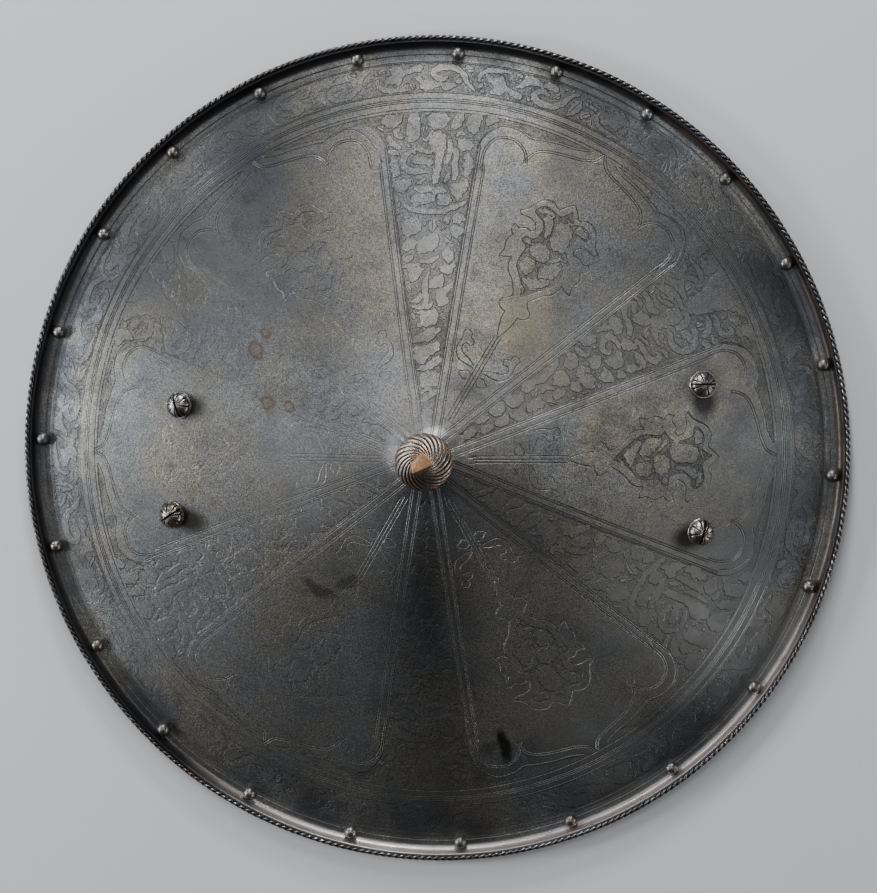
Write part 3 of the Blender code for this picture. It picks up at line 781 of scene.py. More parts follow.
steelGroup = agedSteelGroup()
bumpDistance = .0002  # metres
metalShare = {"plate": .80, "rim": .90, "fitting": .95, "rivet": .92, "bulb": .85, "point": .50}
steelLooks = {
    "plate": {"Cool": (.183, .190, .197, 1), "Warm": (.205, .193, .165, 1), "Dark": (.070, .070, .074, 1),
              "Cloud scale": 15.0, "Darkening": 0.60, "Polish": 0.38, "Grain": 1.0},
    "rim": {"Cool": (.21, .215, .235, 1), "Warm": (.17, .15, .13, 1), "Dark": (.02, .02, .024, 1),
            "Cloud scale": 14.0, "Darkening": 0.8, "Polish": 0.24, "Grain": .7},
    "fitting": {"Cool": (.32, .32, .325, 1), "Warm": (.23, .205, .175, 1), "Dark": (.03, .028, .026, 1),
                "Cloud scale": 70.0, "Darkening": 0.7, "Polish": 0.27, "Grain": .5},
    "rivet": {"Cool": (.23, .23, .232, 1), "Warm": (.19, .172, .15, 1), "Dark": (.03, .028, .026, 1),
              "Cloud scale": 70.0, "Darkening": 0.7, "Polish": 0.35, "Grain": .35},
    "bulb": {"Cool": (.40, .345, .32, 1), "Warm": (.34, .24, .18, 1), "Dark": (.05, .036, .03, 1),
             "Cloud scale": 60.0, "Darkening": 0.5, "Polish": 0.30, "Grain": .45},
    "point": {"Cool": (.62, .37, .205, 1), "Warm": (.54, .29, .14, 1), "Dark": (.17, .08, .04, 1),
              "Cloud scale": 90.0, "Darkening": 0.5, "Polish": 0.48, "Grain": .9},
}
# Marks on the plate: (x, y, half length, half width, turn, strength), in metres and degrees.
plateMarks = {
    "scars": [(.0513, -.2050, .0165, .0058, 100, 1.0), (.0400, -.2080, .0100, .0060, 20, .35),
              (-.0766, -.0919, .017, .0050, -28, .60), (-.0560, -.0880, .013, .0055, 20, .45)],
    "rustRings": [(-.1204, .0730, .0062), (-.112, .0835, .0046), (-.1105, .0364, .0052),
                  (-.0960, .0346, .0050)],
    "warmPatches": [(.0680, .0930, .034), (.0830, .0530, .030)],
    # (x, y, half length, half width, turn, strength, colour). Painted shadows lie beside each bolt, and the
    # last is a rust halo by the upper right bolt.
    "boltShadowsAndRust": [(-.1660, .0325, .0125, .0105, 0, .90, (.014, .014, .015)),
              (-.1700, -.0465, .0185, .0115, -15, .94, (.016, .014, .012)),
              (.1885, .0380, .0155, .0115, -80, .90, (.014, .014, .015)),
              (.1780, -.0560, .0145, .0120, 205, .90, (.016, .015, .013)),
              (.1878, .0540, .0180, .0140, 0, .40, (.075, .060, .048))],
    # Broad patches: patina, and painted light and shade that even out the lamps, darker at the upper left and
    # outer upper right, lighter at the lower right.
    "patinaAndPaintedLight": [(-.020, .036, .070, .048, 115, .40, (.42, .42, .43)),
                     # The next three: painted shade at the upper left.
                     (-.135, .135, .130, .070, 130, .66, (.082, .085, .091)),
                     (-.130, .208, .090, .050, 122, .88, (.040, .044, .053)),
                     (-.190, .110, .095, .055, 120, .55, (.075, .079, .090)),
                     (-.085, -.010, .060, .060, 0, .25, (.33, .33, .335)),
                     # Painted shade at the outer upper right.
                     (.222, .128, .060, .030, 120, .75, (.050, .055, .065)),
                     (.180, .150, .070, .050, 130, .30, (.085, .086, .088)),
                     # Painted light at the lower right.
                     (.185, -.110, .100, .070, -30, .78, (.36, .365, .36)),
                     (.110, -.200, .090, .055, -60, .35, (.33, .33, .325)),
                     (.050, -.030, .070, .036, -32, .60, (.055, .055, .055)),
                     (.215, .0, .120, .060, 90, .50, (.165, .180, .200)),
                     # Painted shadow of the spike, falling below it.
                     (.0, -.100, .150, .050, -90, .86, (.028, .030, .033)),
                     (.0, -.225, .050, .040, 0, .30, (.060, .062, .060)),
                     (-.080, -.170, .100, .060, -118, .25, (.090, .090, .088)),
                     # Painted shade at the outer upper right.
                     (.240, .118, .046, .022, 116, .80, (.030, .034, .046)),
                     (.061, .035, .050, .032, 30, .35, (.34, .33, .31)),
                     (-.035, -.061, .040, .032, -120, .12, (.34, .34, .33)),
                     # A painted highlight on the neck above the bulb.
                     (.006, .0190, .011, .0055, 10, .80, (.90, .91, .95)),
                     # A painted reflection at the left of the neck.
                     (-.024, .008, .014, .009, 70, .20, (.60, .62, .68)),
                     (.135, .080, .085, .045, 30, .30, (.33, .33, .32)),
                     (.000, .125, .032, .052, 0, .35, (.42, .41, .40))],
}


def steelMaterial(name, look):
    # A material whose shader takes its colour, polish and pits from the group.
    material = bpy.data.materials.new(name)
    material.use_nodes = True
    tree = material.node_tree
    shader = tree.nodes["Principled BSDF"]
    shader.inputs["Metallic"].default_value = metalShare[look]
    place = addNode(tree, "ShaderNodeTexCoord").outputs["Object"]
    steel = addNode(tree, "ShaderNodeGroup", node_tree=steelGroup)
    tree.links.new(place, steel.inputs["Place"])
    for key, value in steelLooks[look].items():
        steel.inputs[key].default_value = value
    return material, tree, shader, place, steel


def finishMaterial(tree, shader, color, rough, height, strength):
    tree.links.new(color, shader.inputs["Base Color"])
    tree.links.new(rough, shader.inputs["Roughness"])
    bump = addNode(tree, "ShaderNodeBump", {"Height": height, "Strength": strength, "Distance": bumpDistance})
    tree.links.new(bump.outputs["Normal"], shader.inputs["Normal"])


def spotMask(tree, place, x, y, long, wide, turn, soft):
    # One inside an ellipse on the plate, fading to none at its edge.
    ellipse = {"Vector": place, "Location": (x, y, 0), "Rotation": (0, 0, math.radians(turn)),
               "Scale": (long, wide, 10.0)}
    local = addNode(tree, "ShaderNodeMapping", ellipse, vector_type="TEXTURE")
    return remap(tree, vectorMath(tree, "LENGTH", local.outputs[0]), 1.0, 1.0 - soft)


def plateMaterial():
    material, tree, shader, place, steel = steelMaterial("plateSteel", "plate")
    color, rough, height = steel.outputs["Color"], steel.outputs["Roughness"], steel.outputs["Height"]
    flat = vectorMath(tree, "MULTIPLY", place, (1, 1, 0))
    reach = vectorMath(tree, "LENGTH", flat)
    # The back has none of the front's marks, so there they are looked up far outside the plate.
    behind = math2(tree, "LESS_THAN", facingAlong(tree, (0, 0, 1)), 0.0)
    front = vectorMath(tree, "ADD", flat, addNode(tree, "ShaderNodeCombineXYZ", {"X": behind}).outputs[0])
    # Most marks have a wavering edge.
    wander = addNode(tree, "ShaderNodeTexNoise", {"Vector": place, "Scale": 60.0, "Detail": 3.0})
    shift = vectorMath(tree, "SUBTRACT", wander.outputs["Color"], (.5, .5, .5))
    shift = addNode(tree, "ShaderNodeVectorMath", {0: shift, "Scale": .012}, operation="SCALE").outputs[0]
    wavering = vectorMath(tree, "ADD", front, shift)
    blue = remap(tree, noise(tree, place, 13.0, 5.0, .6), .44, .60)
    blue = times(tree, remap(tree, reach, .19, .268), blue)
    color = paint(tree, color, blue, .72, (.045, .050, .062))
    tarnish = remap(tree, noise(tree, place, 24.0, 5.0, .62), .50, .68, 0, .42)
    color = mixColor(tree, tarnish, color, (.074, .079, .086))
    # Patina, and painted light and shade that even out the lamps.
    for *spot, strength, tint in plateMarks["patinaAndPaintedLight"]:
        color = paint(tree, color, spotMask(tree, wavering, *spot, 1.0), strength, tint)
    # Painted shadows beside the bolts, and a rust halo.
    for *spot, strength, tint in plateMarks["boltShadowsAndRust"]:
        color = paint(tree, color, spotMask(tree, front, *spot, .6), strength, tint)
    for x, y, size in plateMarks["warmPatches"]:
        color = paint(tree, color, spotMask(tree, wavering, x, y, size, size, 0, 1.0), .45, (.25, .205, .14))
    for x, y, size in plateMarks["rustRings"]:
        inner = spotMask(tree, wavering, x, y, size * .72, size * .72, 0, .4)
        ring = spotMask(tree, wavering, x, y, size, size, 0, .3)
        ring = math2(tree, "SUBTRACT", ring, times(tree, inner, .65))
        color = paint(tree, color, ring, .8, (.085, .050, .030))
        rough = math2(tree, "ADD", rough, times(tree, ring, .15))
    for *spot, depth in plateMarks["scars"]:
        scar = times(tree, spotMask(tree, wavering, *spot, .5), depth)
        color = paint(tree, color, scar, .92, (.012, .011, .010))
    # The flange is painted near black as painted shade on its inner face, rusty at the right, and given a
    # painted highlight along its lower right.
    flange = remap(tree, reach, .2790, .2825)
    color = paint(tree, color, flange, .85, (.022, .022, .025))
    rusty = remap(tree, vectorMath(tree, "DOT_PRODUCT", flat, (.95, .30, 0)), .16, .24)
    rusty = times(tree, flange, rusty, remap(tree, noise(tree, place, 45.0, 4.0, .6), .38, .60))
    color = paint(tree, color, rusty, .75, (.095, .070, .057))
    side = vectorMath(tree, "DOT_PRODUCT", flat, (.26, -.966, 0))
    paintedHighlight = times(tree, flange, remap(tree, side, .165, .220))
    color = paint(tree, color, paintedHighlight, .85, (.42, .39, .375))
    rough = math2(tree, "ADD", rough, times(tree, paintedHighlight, -.04))
    pits = addNode(tree, "ShaderNodeTexVoronoi", {"Vector": place, "Scale": 680.0}).outputs["Distance"]
    area = spotMask(tree, front, -.030, .045, .085, .060, 125, .8)
    area = times(tree, area, remap(tree, noise(tree, place, 160.0), .34, .50))
    color = paint(tree, color, times(tree, remap(tree, pits, .50, .24), area), .62, (.04, .04, .046))
    # The engraving's attribute holds the depth of a line, the sunk ground and what wear has left of both.
    cuts = addNode(tree, "ShaderNodeAttribute", attribute_name="engraving")
    line, sunk, kept = addNode(tree, "ShaderNodeSeparateColor", {0: cuts.outputs["Color"]}).outputs
    broken = remap(tree, noise(tree, place, 700.0, 2.0, .6), .36, .54, .65, 1.0)
    stroke = times(tree, remap(tree, line, .25, .70), broken)
    # A wall is where the ground is half down: it carries the dark outline of a leaf.
    half = math2(tree, "ABSOLUTE", math2(tree, "SUBTRACT", sunk, .5))
    outline = times(tree, remap(tree, half, .49, .40), kept, broken)
    stipple = addNode(tree, "ShaderNodeTexVoronoi", {"Vector": place, "Scale": 900.0}).outputs["Distance"]
    dots = remap(tree, stipple, .20, .50, 1.0, 0.0)
    worn = remap(tree, noise(tree, place, 17.0, 4.0, .6), .36, .60, .45, 1.0)
    ground = times(tree, sunk, kept, remap(tree, dots, 0, 1, .32, .88))
    color = paint(tree, color, ground, worn, (.020, .019, .017))
    shown = remap(tree, worn, 0, 1, .60, .95)
    ink = (.014, .013, .012)
    color = paint(tree, color, stroke, shown, ink)
    color = paint(tree, color, outline, times(tree, shown, .92), ink)
    height = math2(tree, "SUBTRACT", height, times(tree, dots, sunk, 1.2))
    rough = math2(tree, "ADD", rough, times(tree, math2(tree, "MAXIMUM", ground, stroke), .22))
    finishMaterial(tree, shader, color, rough, height, .35)
    return material


def simpleSteel(name, look, strength, hollowShade=False, lowerShade=0.0):
    material, tree, shader, _, steel = steelMaterial(name, look)
    color = steel.outputs["Color"]
    if lowerShade:
        # Painted shade: the sides turned to the lower right are darkened.
        lower = remap(tree, facingAlong(tree, (.45, -.89, 0)), .15, .75)
        color = paint(tree, color, lower, lowerShade, (.035, .022, .016))
    # Painted shade darkens the hollows, the more the deeper they are.
    if hollowShade:
        depth = addNode(tree, "ShaderNodeAttribute", attribute_name="hollowShade").outputs["Fac"]
        color = mixColor(tree, remap(tree, depth, .14, .52, 0, .97), color, (.010, .008, .007))
    finishMaterial(tree, shader, color, steel.outputs["Roughness"], steel.outputs["Height"], strength)
    return material


materials = {
    "plate": plateMaterial(),
    "rope": simpleSteel("ropeSteel", "rim", .35, True),
    "fitting": simpleSteel("fittingSteel", "fitting", .4, True),
    "rivet": simpleSteel("rivetSteel", "rivet", .3),
    "bulb": simpleSteel("bulbSteel", "bulb", .4, True, .75),
    "point": simpleSteel("pointSteel", "point", .5, False, .85),
}
print("materials made")


# Pieces

def addPiece(name, mesh, material, slot, *nodes):
    # Links a finished piece and says what it rides on, stands for and takes its finish from.
    piece = bpy.data.objects.new(name, mesh)
    bpy.context.scene.collection.objects.link(piece)
    if not mesh.materials:
        mesh.materials.append(material)
    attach(piece, "root")
    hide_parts(*nodes)
    print("piece:", name, sum(len(p.vertices) - 2 for p in mesh.polygons), "triangles")
    return piece


def setMask(mesh, name, values):
    layer = mesh.attributes.new(name, "FLOAT", "POINT")
    layer.data.foreach_set("value", np.asarray(values, np.float32))


def readArray(items, key, width=1, kind=float):
    # One value or row for each item of a mesh.
    out = np.empty(len(items) * width, kind)
    items.foreach_get(key, out)
    return out.reshape(-1, width) if width > 1 else out


def mergeAndFace(bm, distance=1e-6):
    # Joins vertices that meet and turns every face outwards.
    bmesh.ops.remove_doubles(bm, verts=bm.verts, dist=distance)
    bmesh.ops.recalc_face_normals(bm, faces=bm.faces)


def smoothMesh(bm, name, sharpFrom=None):
    # The finished mesh, shaded smooth, its edges sharp from an angle in degrees.
    mesh = bpy.data.meshes.new(name)
    bm.to_mesh(mesh)
    bm.free()
    mesh.shade_smooth()
    if sharpFrom:
        mesh.set_sharp_from_angle(angle=math.radians(sharpFrom))
    return mesh


def tailProfile(part, shank, straight, tip):
    # The shank through the plate and the tail hammered over behind it, as (radius, height).
    wide, tall = part["tailRadius"], part["tailHeight"]
    back = -plate["thickness"] - part["seatGap"]
    return [(shank, part["seatGap"]), (shank, back), (wide, back), (wide, back - straight * tall),
            (tip * wide, back - tall), (0, back - tall)]


def spin(bm, geom, steps, angle=fullTurn):
    bmesh.ops.spin(bm, geom=geom, axis=(0, 0, 1), cent=(0, 0, 0), dvec=(0, 0, 0), angle=angle, steps=steps,
                   use_merge=angle == fullTurn, use_normal_flip=False, use_duplicate=False)


def profileEdges(bm, profile, closed=False):
    # Vertices and edges of a profile of (radius, height), in the plane of X and Z.
    verts = [bm.verts.new((radius, 0, height)) for radius, height in profile]
    edges = [bm.edges.new(pair) for pair in zip(verts, verts[1:])]
    if closed:
        edges.append(bm.edges.new((verts[-1], verts[0])))
    return verts + edges


def turned(profile, steps, sectors, closed=False):
    # A long turning is spun as one sector, and the sector is copied round: that is much faster.
    bm = bmesh.new()
    spin(bm, profileEdges(bm, profile, closed), steps // sectors, fullTurn / sectors)
    sector = list(bm.verts) + list(bm.edges) + list(bm.faces)
    for index in range(1, sectors):
        copy = bmesh.ops.duplicate(bm, geom=sector)["geom"]
        verts = [item for item in copy if isinstance(item, bmesh.types.BMVert)]
        bmesh.ops.rotate(bm, verts=verts, cent=(0, 0, 0),
                         matrix=Matrix.Rotation(index * fullTurn / sectors, 3, "Z"))
    bmesh.ops.remove_doubles(bm, verts=bm.verts, dist=1e-6)
    return bm


engraving = {
    "groundDepth": 0.00018,
    "lineDepth": 0.00020,
    "lineHalf": 0.46,
    "wallWidth": 0.56,
    "gridSpacing": 6.5,
    "clearRadius": 0.030,
    "lineSlant": 0.95,
    "bossSlant": 0.50,
    "lowerSlant": 0.40,
    "wallSlant": 1.1,
    "wallReach": 0.2,
    "pathStep": 0.2,
    # Where the cuts are worn down: (azimuth, radius in mm, half length out, half width, share worn away).
    "worn": [(180, 150, 75, 62, .86), (-120, 145, 75, 62, .62), (145, 175, 50, 20, .60),
             (122, 140, 75, 55, .25), (151, 150, 75, 40, .55), (-150, 150, 70, 34, .45),
             (-143, 190, 50, 22, .45), (-91, 160, 110, 40, .25), (-31, 150, 110, 40, .10),
             (-61, 200, 40, 70, .10), (150, 38, 42, 44, .60), (180, 262, 22, 150, .45),
             (-140, 262, 22, 130, .60), (-90, 262, 22, 100, .35), (40, 262, 22, 90, .50),
             (0, 262, 22, 60, .35), (-40, 254, 26, 80, .50), (130, 262, 22, 70, .40)],
}


def cutsKept(x, y):
    # The share of the engraving's depth that wear has left at places in mm.
    kept = np.ones(len(x))
    for azimuth, middle, long, wide, worn in engraving["worn"]:
        a = math.radians(azimuth)
        s = x * math.cos(a) + y * math.sin(a) - middle
        t = y * math.cos(a) - x * math.sin(a)
        kept *= 1 - worn * np.exp(-((s / long) ** 4) - (t / wide) ** 4)
    return kept


def engravedField(plan):
    # Triangles of the plate's front that follow every cut edge, as plan points in mm and faces.
    points, edges = [], []

    def row(path, closed):
        first = len(points)
        points.extend(map(tuple, path))
        edges.extend((first + i, first + i + 1) for i in range(len(path) - 1))
        if closed:
            edges.append((first + len(path) - 1, first))

    steps = plate["turnSteps"]
    turns = np.arange(steps) * fullTurn / steps
    circle = np.stack([np.cos(turns), np.sin(turns)], 1)
    for radius in (plate["fieldRadius"], plate["seatRadius"]):
        row(circle * radius / mm, True)
    for push in (-2, -1, 0, 1, 2):
        row(circle[::2] * (plate["valleyInner"] + push * .5 * plate["creaseSoftness"]) / mm, True)
    for share in (0.0150, .018, .022, .028, .036):
        row(circle[::8] * share / mm, True)
    for shape, side in plan.walls:
        loop = thinned(np.vstack([shape, shape[:1]]))[:-1]
        if len(loop) < 4:
            continue
        row(loop, True)
        row(offsetLoop(loop, side * engraving["wallWidth"]), True)
    for path in plan.lines:
        path = thinned(path, 0.05)
        if len(path) < 2:
            continue
        row(path, False)
        for side in sidesOf(path, (engraving["lineHalf"], -engraving["lineHalf"])):
            row(side, False)
    # Open ground gets a coarse grid of points, kept clear of every cut.
    coarse = cell * 8
    taken = np.zeros((planCells // 8 + 1, planCells // 8 + 1), bool)
    at = ((np.array(points) + planHalf) / coarse).astype(int)
    taken[at[:, 1], at[:, 0]] = True
    taken = grown(taken, 1)
    spacing = engraving["gridSpacing"]
    for i, y in enumerate(np.arange(-280, 280, spacing * .866)):
        for x in np.arange(-280 + (i % 2) * spacing / 2, 280, spacing):
            clear = not taken[int((y + planHalf) / coarse), int((x + planHalf) / coarse)]
            if 20 < math.hypot(x, y) < 276 and clear:
                points.append((x, y))
    made = geometry.delaunay_2d_cdt([Vector(p) for p in points], edges, [], 0, 0.004, False)
    return np.array([tuple(p) for p in made[0]]), np.array(made[2])


def plateProfile():
    # The rest of the plate, from the engraved field's edge round the flange to the hole.
    thick, rise = plate["thickness"], plate["flangeRise"]
    profile = [(plate["fieldRadius"], 0.0), (plate["valleyOuter"], 0.0)]
    for degrees in range(15, 91, 15):
        turn = math.radians(degrees)
        profile.append((plate["valleyOuter"] + plate["flangeWidth"] * math.sin(turn),
                        rise * (1 - math.cos(turn))))
    core = plate["rimRadius"] - plate["beadRadius"]
    profile += [(plate["ridgeOuter"] - .0001, rise), (plate["ridgeOuter"] + .0002, rise - .0003),
                (core - .0009, rise - .0004)]
    # A core that the rope lies round.
    for degrees in (120, 75, 30, -15, -60):
        turn = math.radians(degrees)
        profile.append((core + .0011 * math.cos(turn), rise + .0011 * math.sin(turn)))
    front = [(r, float(domeHeight(r))) for r in np.linspace(.0135, .2752, 26)] + profile[:8]
    back = []
    for i, (r, h) in enumerate(front):
        a, b = Vector(front[max(i - 1, 0)]), Vector(front[min(i + 1, len(front) - 1)])
        run = (b - a).normalized()
        back.append((r + run.y * thick, h - run.x * thick))
    seat = float(domeHeight(0))
    hole = [(plate["holeRadius"], seat - thick), (plate["holeRadius"], seat), (plate["seatRadius"], seat)]
    return [(r, h + plate["valleyHeight"]) for r, h in profile + back[::-1] + hole]


def shadeCuts(mesh, cutShare):
    # Flat runs take the dome's own shading, so that long thin triangles beside a cut don't show.
    place = readArray(mesh.vertices, "co", 3)
    reach = np.hypot(place[:, 0], place[:, 1])
    sunk = domeHeight(reach) + plate["valleyHeight"] - place[:, 2]
    slope = domeSlope(reach)
    outwards = np.maximum(reach, 1e-6)
    out = np.column_stack([-slope * place[:, 0] / outwards, -slope * place[:, 1] / outwards,
                           np.ones(len(reach))])
    out /= np.linalg.norm(out, axis=1)[:, None]
    corners = readArray(mesh.loops, "vertex_index", 1, int)
    starts = readArray(mesh.polygons, "loop_start", 1, int)
    totals = readArray(mesh.polygons, "loop_total", 1, int)
    own = readArray(mesh.corner_normals, "vector", 3)
    faceNormals = readArray(mesh.polygons, "normal", 3)
    faceOf = np.repeat(np.arange(len(mesh.polygons)), totals)
    deepest = np.maximum.reduceat(sunk[corners], starts)
    highest = np.minimum.reduceat(sunk[corners], starts)
    onFront = (totals == 3) & (faceNormals[:, 2] > 0)
    level = onFront & (deepest - highest < 2e-5) & (np.abs(deepest) < .0005)
    wall = onFront & ~level
    normals = np.where(level[faceOf][:, None], out[corners], own)
    # The walls are shaded steeper than they're cut, since the graver leaves a burr at their lip.
    scored = np.maximum.reduceat(cutShare[corners], starts) > .02
    # It stands highest round the boss and over the lower right.
    first = corners[starts]
    near = np.exp(-(reach[first] / .075) ** 2)
    turn = np.degrees(np.arctan2(place[first, 1], place[first, 0]))
    burr = engraving["bossSlant"] * near + engraving["lowerSlant"] * np.exp(-((turn + 50) / 42) ** 4)
    slant = np.where(scored, engraving["lineSlant"] + burr, engraving["wallSlant"] + .5 * burr)
    slant = slant[faceOf][:, None]
    steeper = faceNormals[faceOf] * slant - out[corners] * (slant - 1)
    steeper /= np.linalg.norm(steeper, axis=1)[:, None]
    normals = np.where(wall[faceOf][:, None], steeper, normals)
    mesh.normals_split_custom_set(normals.tolist())


def makePlate(plan):
    flat, faces = engravedField(plan)
    middle = flat[faces].mean(1)
    reach = np.hypot(middle[:, 0], middle[:, 1])
    faces = faces[(reach > plate["seatRadius"] / mm) & (reach < plate["fieldRadius"] / mm)]
    radius = np.hypot(flat[:, 0], flat[:, 1]) * mm
    # Sunk ground starts a little inside its wall.
    low = np.ones(len(flat), bool)
    inside = engraving["wallReach"]
    for turn in np.arange(8) * fullTurn / 8:
        at = ((flat + (inside * math.cos(turn), inside * math.sin(turn)) + planHalf) / cell).astype(int)
        low &= plan.sunk[np.clip(at[:, 1], 0, planCells - 1), np.clip(at[:, 0], 0, planCells - 1)]
    dense = np.vstack([evenly(path, engraving["pathStep"]) for path in plan.lines])
    tree = kdtree.KDTree(len(dense))
    for i, p in enumerate(dense):
        tree.insert((p[0], p[1], 0), i)
    tree.balance()
    away = np.array([tree.find((x, y, 0))[2] for x, y in flat])
    # Full depth near a line's middle, and none at all in the rows beside it.
    kept = cutsKept(flat[:, 0], flat[:, 1])
    cut = np.clip(1.25 * (1 - away / engraving["lineHalf"]) - .04, 0, 1) * kept
    low &= radius > engraving["clearRadius"]
    depth = np.maximum(cut * engraving["lineDepth"], low * kept * engraving["groundDepth"])
    depth[radius > plate["fieldRadius"] - .0004] = 0
    height = domeHeight(radius) - depth + plate["valleyHeight"]

    mesh = bpy.data.meshes.new("plateFront")
    mesh.from_pydata(np.column_stack([flat * mm, height]).tolist(), [], faces.tolist())
    field = bmesh.new()
    field.from_mesh(mesh)
    cuts = field.verts.layers.float_color.new("engraving")
    field.verts.ensure_lookup_table()
    for vert, c, g, k in zip(field.verts, cut, low, kept):
        vert[cuts] = (c, float(g), k, 1)
    loose = [v for v in field.verts if not v.link_faces]
    bmesh.ops.delete(field, geom=loose, context="VERTS")
    rest = turned(plateProfile(), plate["turnSteps"], 12)
    restMesh = bpy.data.meshes.new("plateRest")
    rest.to_mesh(restMesh)
    rest.free()
    engraved = set(field.verts)
    field.from_mesh(restMesh)
    for vert in field.verts:
        if vert not in engraved:
            vert[cuts] = (0, 0, 0, 1)
    mergeAndFace(field, 2e-6)
    openEdges = sum(1 for e in field.edges if len(e.link_faces) != 2)
    print("plate edges that aren't shared by two faces:", openEdges)
    cutShare = np.array([vert[cuts][0] for vert in field.verts])
    field.to_mesh(mesh)
    field.free()
    mesh.shade_smooth()
    shadeCuts(mesh, cutShare)
    piece = addPiece("engravedPlate", mesh, materials["plate"], "plate_steel", "shield_plate")
    # The normals are given per corner, so rays start from the true face.
    piece.cycles.shadow_terminator_geometry_offset = 0.0
    return piece


rope = {
    "strands": 380,
    "columns": 4,
    "sides": 12,
    "lay": 1.15,
    "groove": 0.34,
}


def makeRope():
    # The turned edge, worked into a rope: a ring whose grooves wind round it.
    radius = plate["beadRadius"]
    core = plate["rimRadius"] - radius
    turns = np.arange(rope["sides"]) * fullTurn / rope["sides"]
    section = [(core + radius * math.cos(a), radius * math.sin(a)) for a in turns]
    bm = turned(section, rope["strands"] * rope["columns"], 20, True)
    bmesh.ops.recalc_face_normals(bm, faces=bm.faces)
    mesh = smoothMesh(bm, "ropedEdge")
    place = readArray(mesh.vertices, "co", 3)
    reach = np.hypot(place[:, 0], place[:, 1])
    turn = np.arctan2(place[:, 1], place[:, 0])
    around = np.arctan2(place[:, 2], reach - core)
    pitch = fullTurn / rope["strands"]
    # Each column of the ring leans over by its place round the section, and carries one height of the strand.
    column = np.round(turn / (pitch / rope["columns"])) % rope["columns"]
    hollow = np.choose(column.astype(int), (1.0, .35, 0.0, .35))
    size = radius * (1 - rope["groove"] * hollow)
    lean = turn + pitch * rope["lay"] * around / math.pi
    out = core + size * np.cos(around)
    rise = size * np.sin(around) + plate["flangeRise"] + plate["valleyHeight"]
    mesh.vertices.foreach_set("co", np.column_stack([out * np.cos(lean), out * np.sin(lean), rise]).ravel())
    mesh.update()
    # The grooves between the strands carry painted shade.
    setMask(mesh, "hollowShade", hollow ** 1.5)
    return addPiece("ropedEdge", mesh, materials["rope"], "plate_steel", "shield_plate")


spike = {
    "bulbRadius": 0.0200,
    "bulbHeight": 0.0255,
    "footRadius": 0.0112,
    "flutes": 20,
    "fluteDepth": 0.0023,
    "twist": math.radians(50),
    "twistPower": 0.75,
    "swirl": math.radians(40),
    "samples": 10,
    "collarRadius": 0.0116,
    "collarHeight": 0.0022,
    "pointRadius": 0.0076,
    "pointLength": 0.068,
    "pointTurn": math.radians(-3),
    "tangRadius": 0.0045,
    "tailRadius": 0.0085,
    "tailHeight": 0.0025,
    "seatGap": 0.0003,
    # The bulb from foot to crown: (share of its height, of its radius and of the flutes' depth).
    "bulbShares": [(0, .571, .5), (.05, .68, .9), (.12, .80, 1), (.21, .895, 1), (.30, .955, 1),
                   (.38, .987, 1), (.46, 1.0, 1), (.54, .985, 1), (.62, .945, 1), (.70, .875, 1),
                   (.77, .795, .95), (.83, .71, .9), (.88, .63, .8), (.92, .56, .7), (.96, .48, .7),
                   (1.0, .39, .6), (1.03, .28, .5)],
}


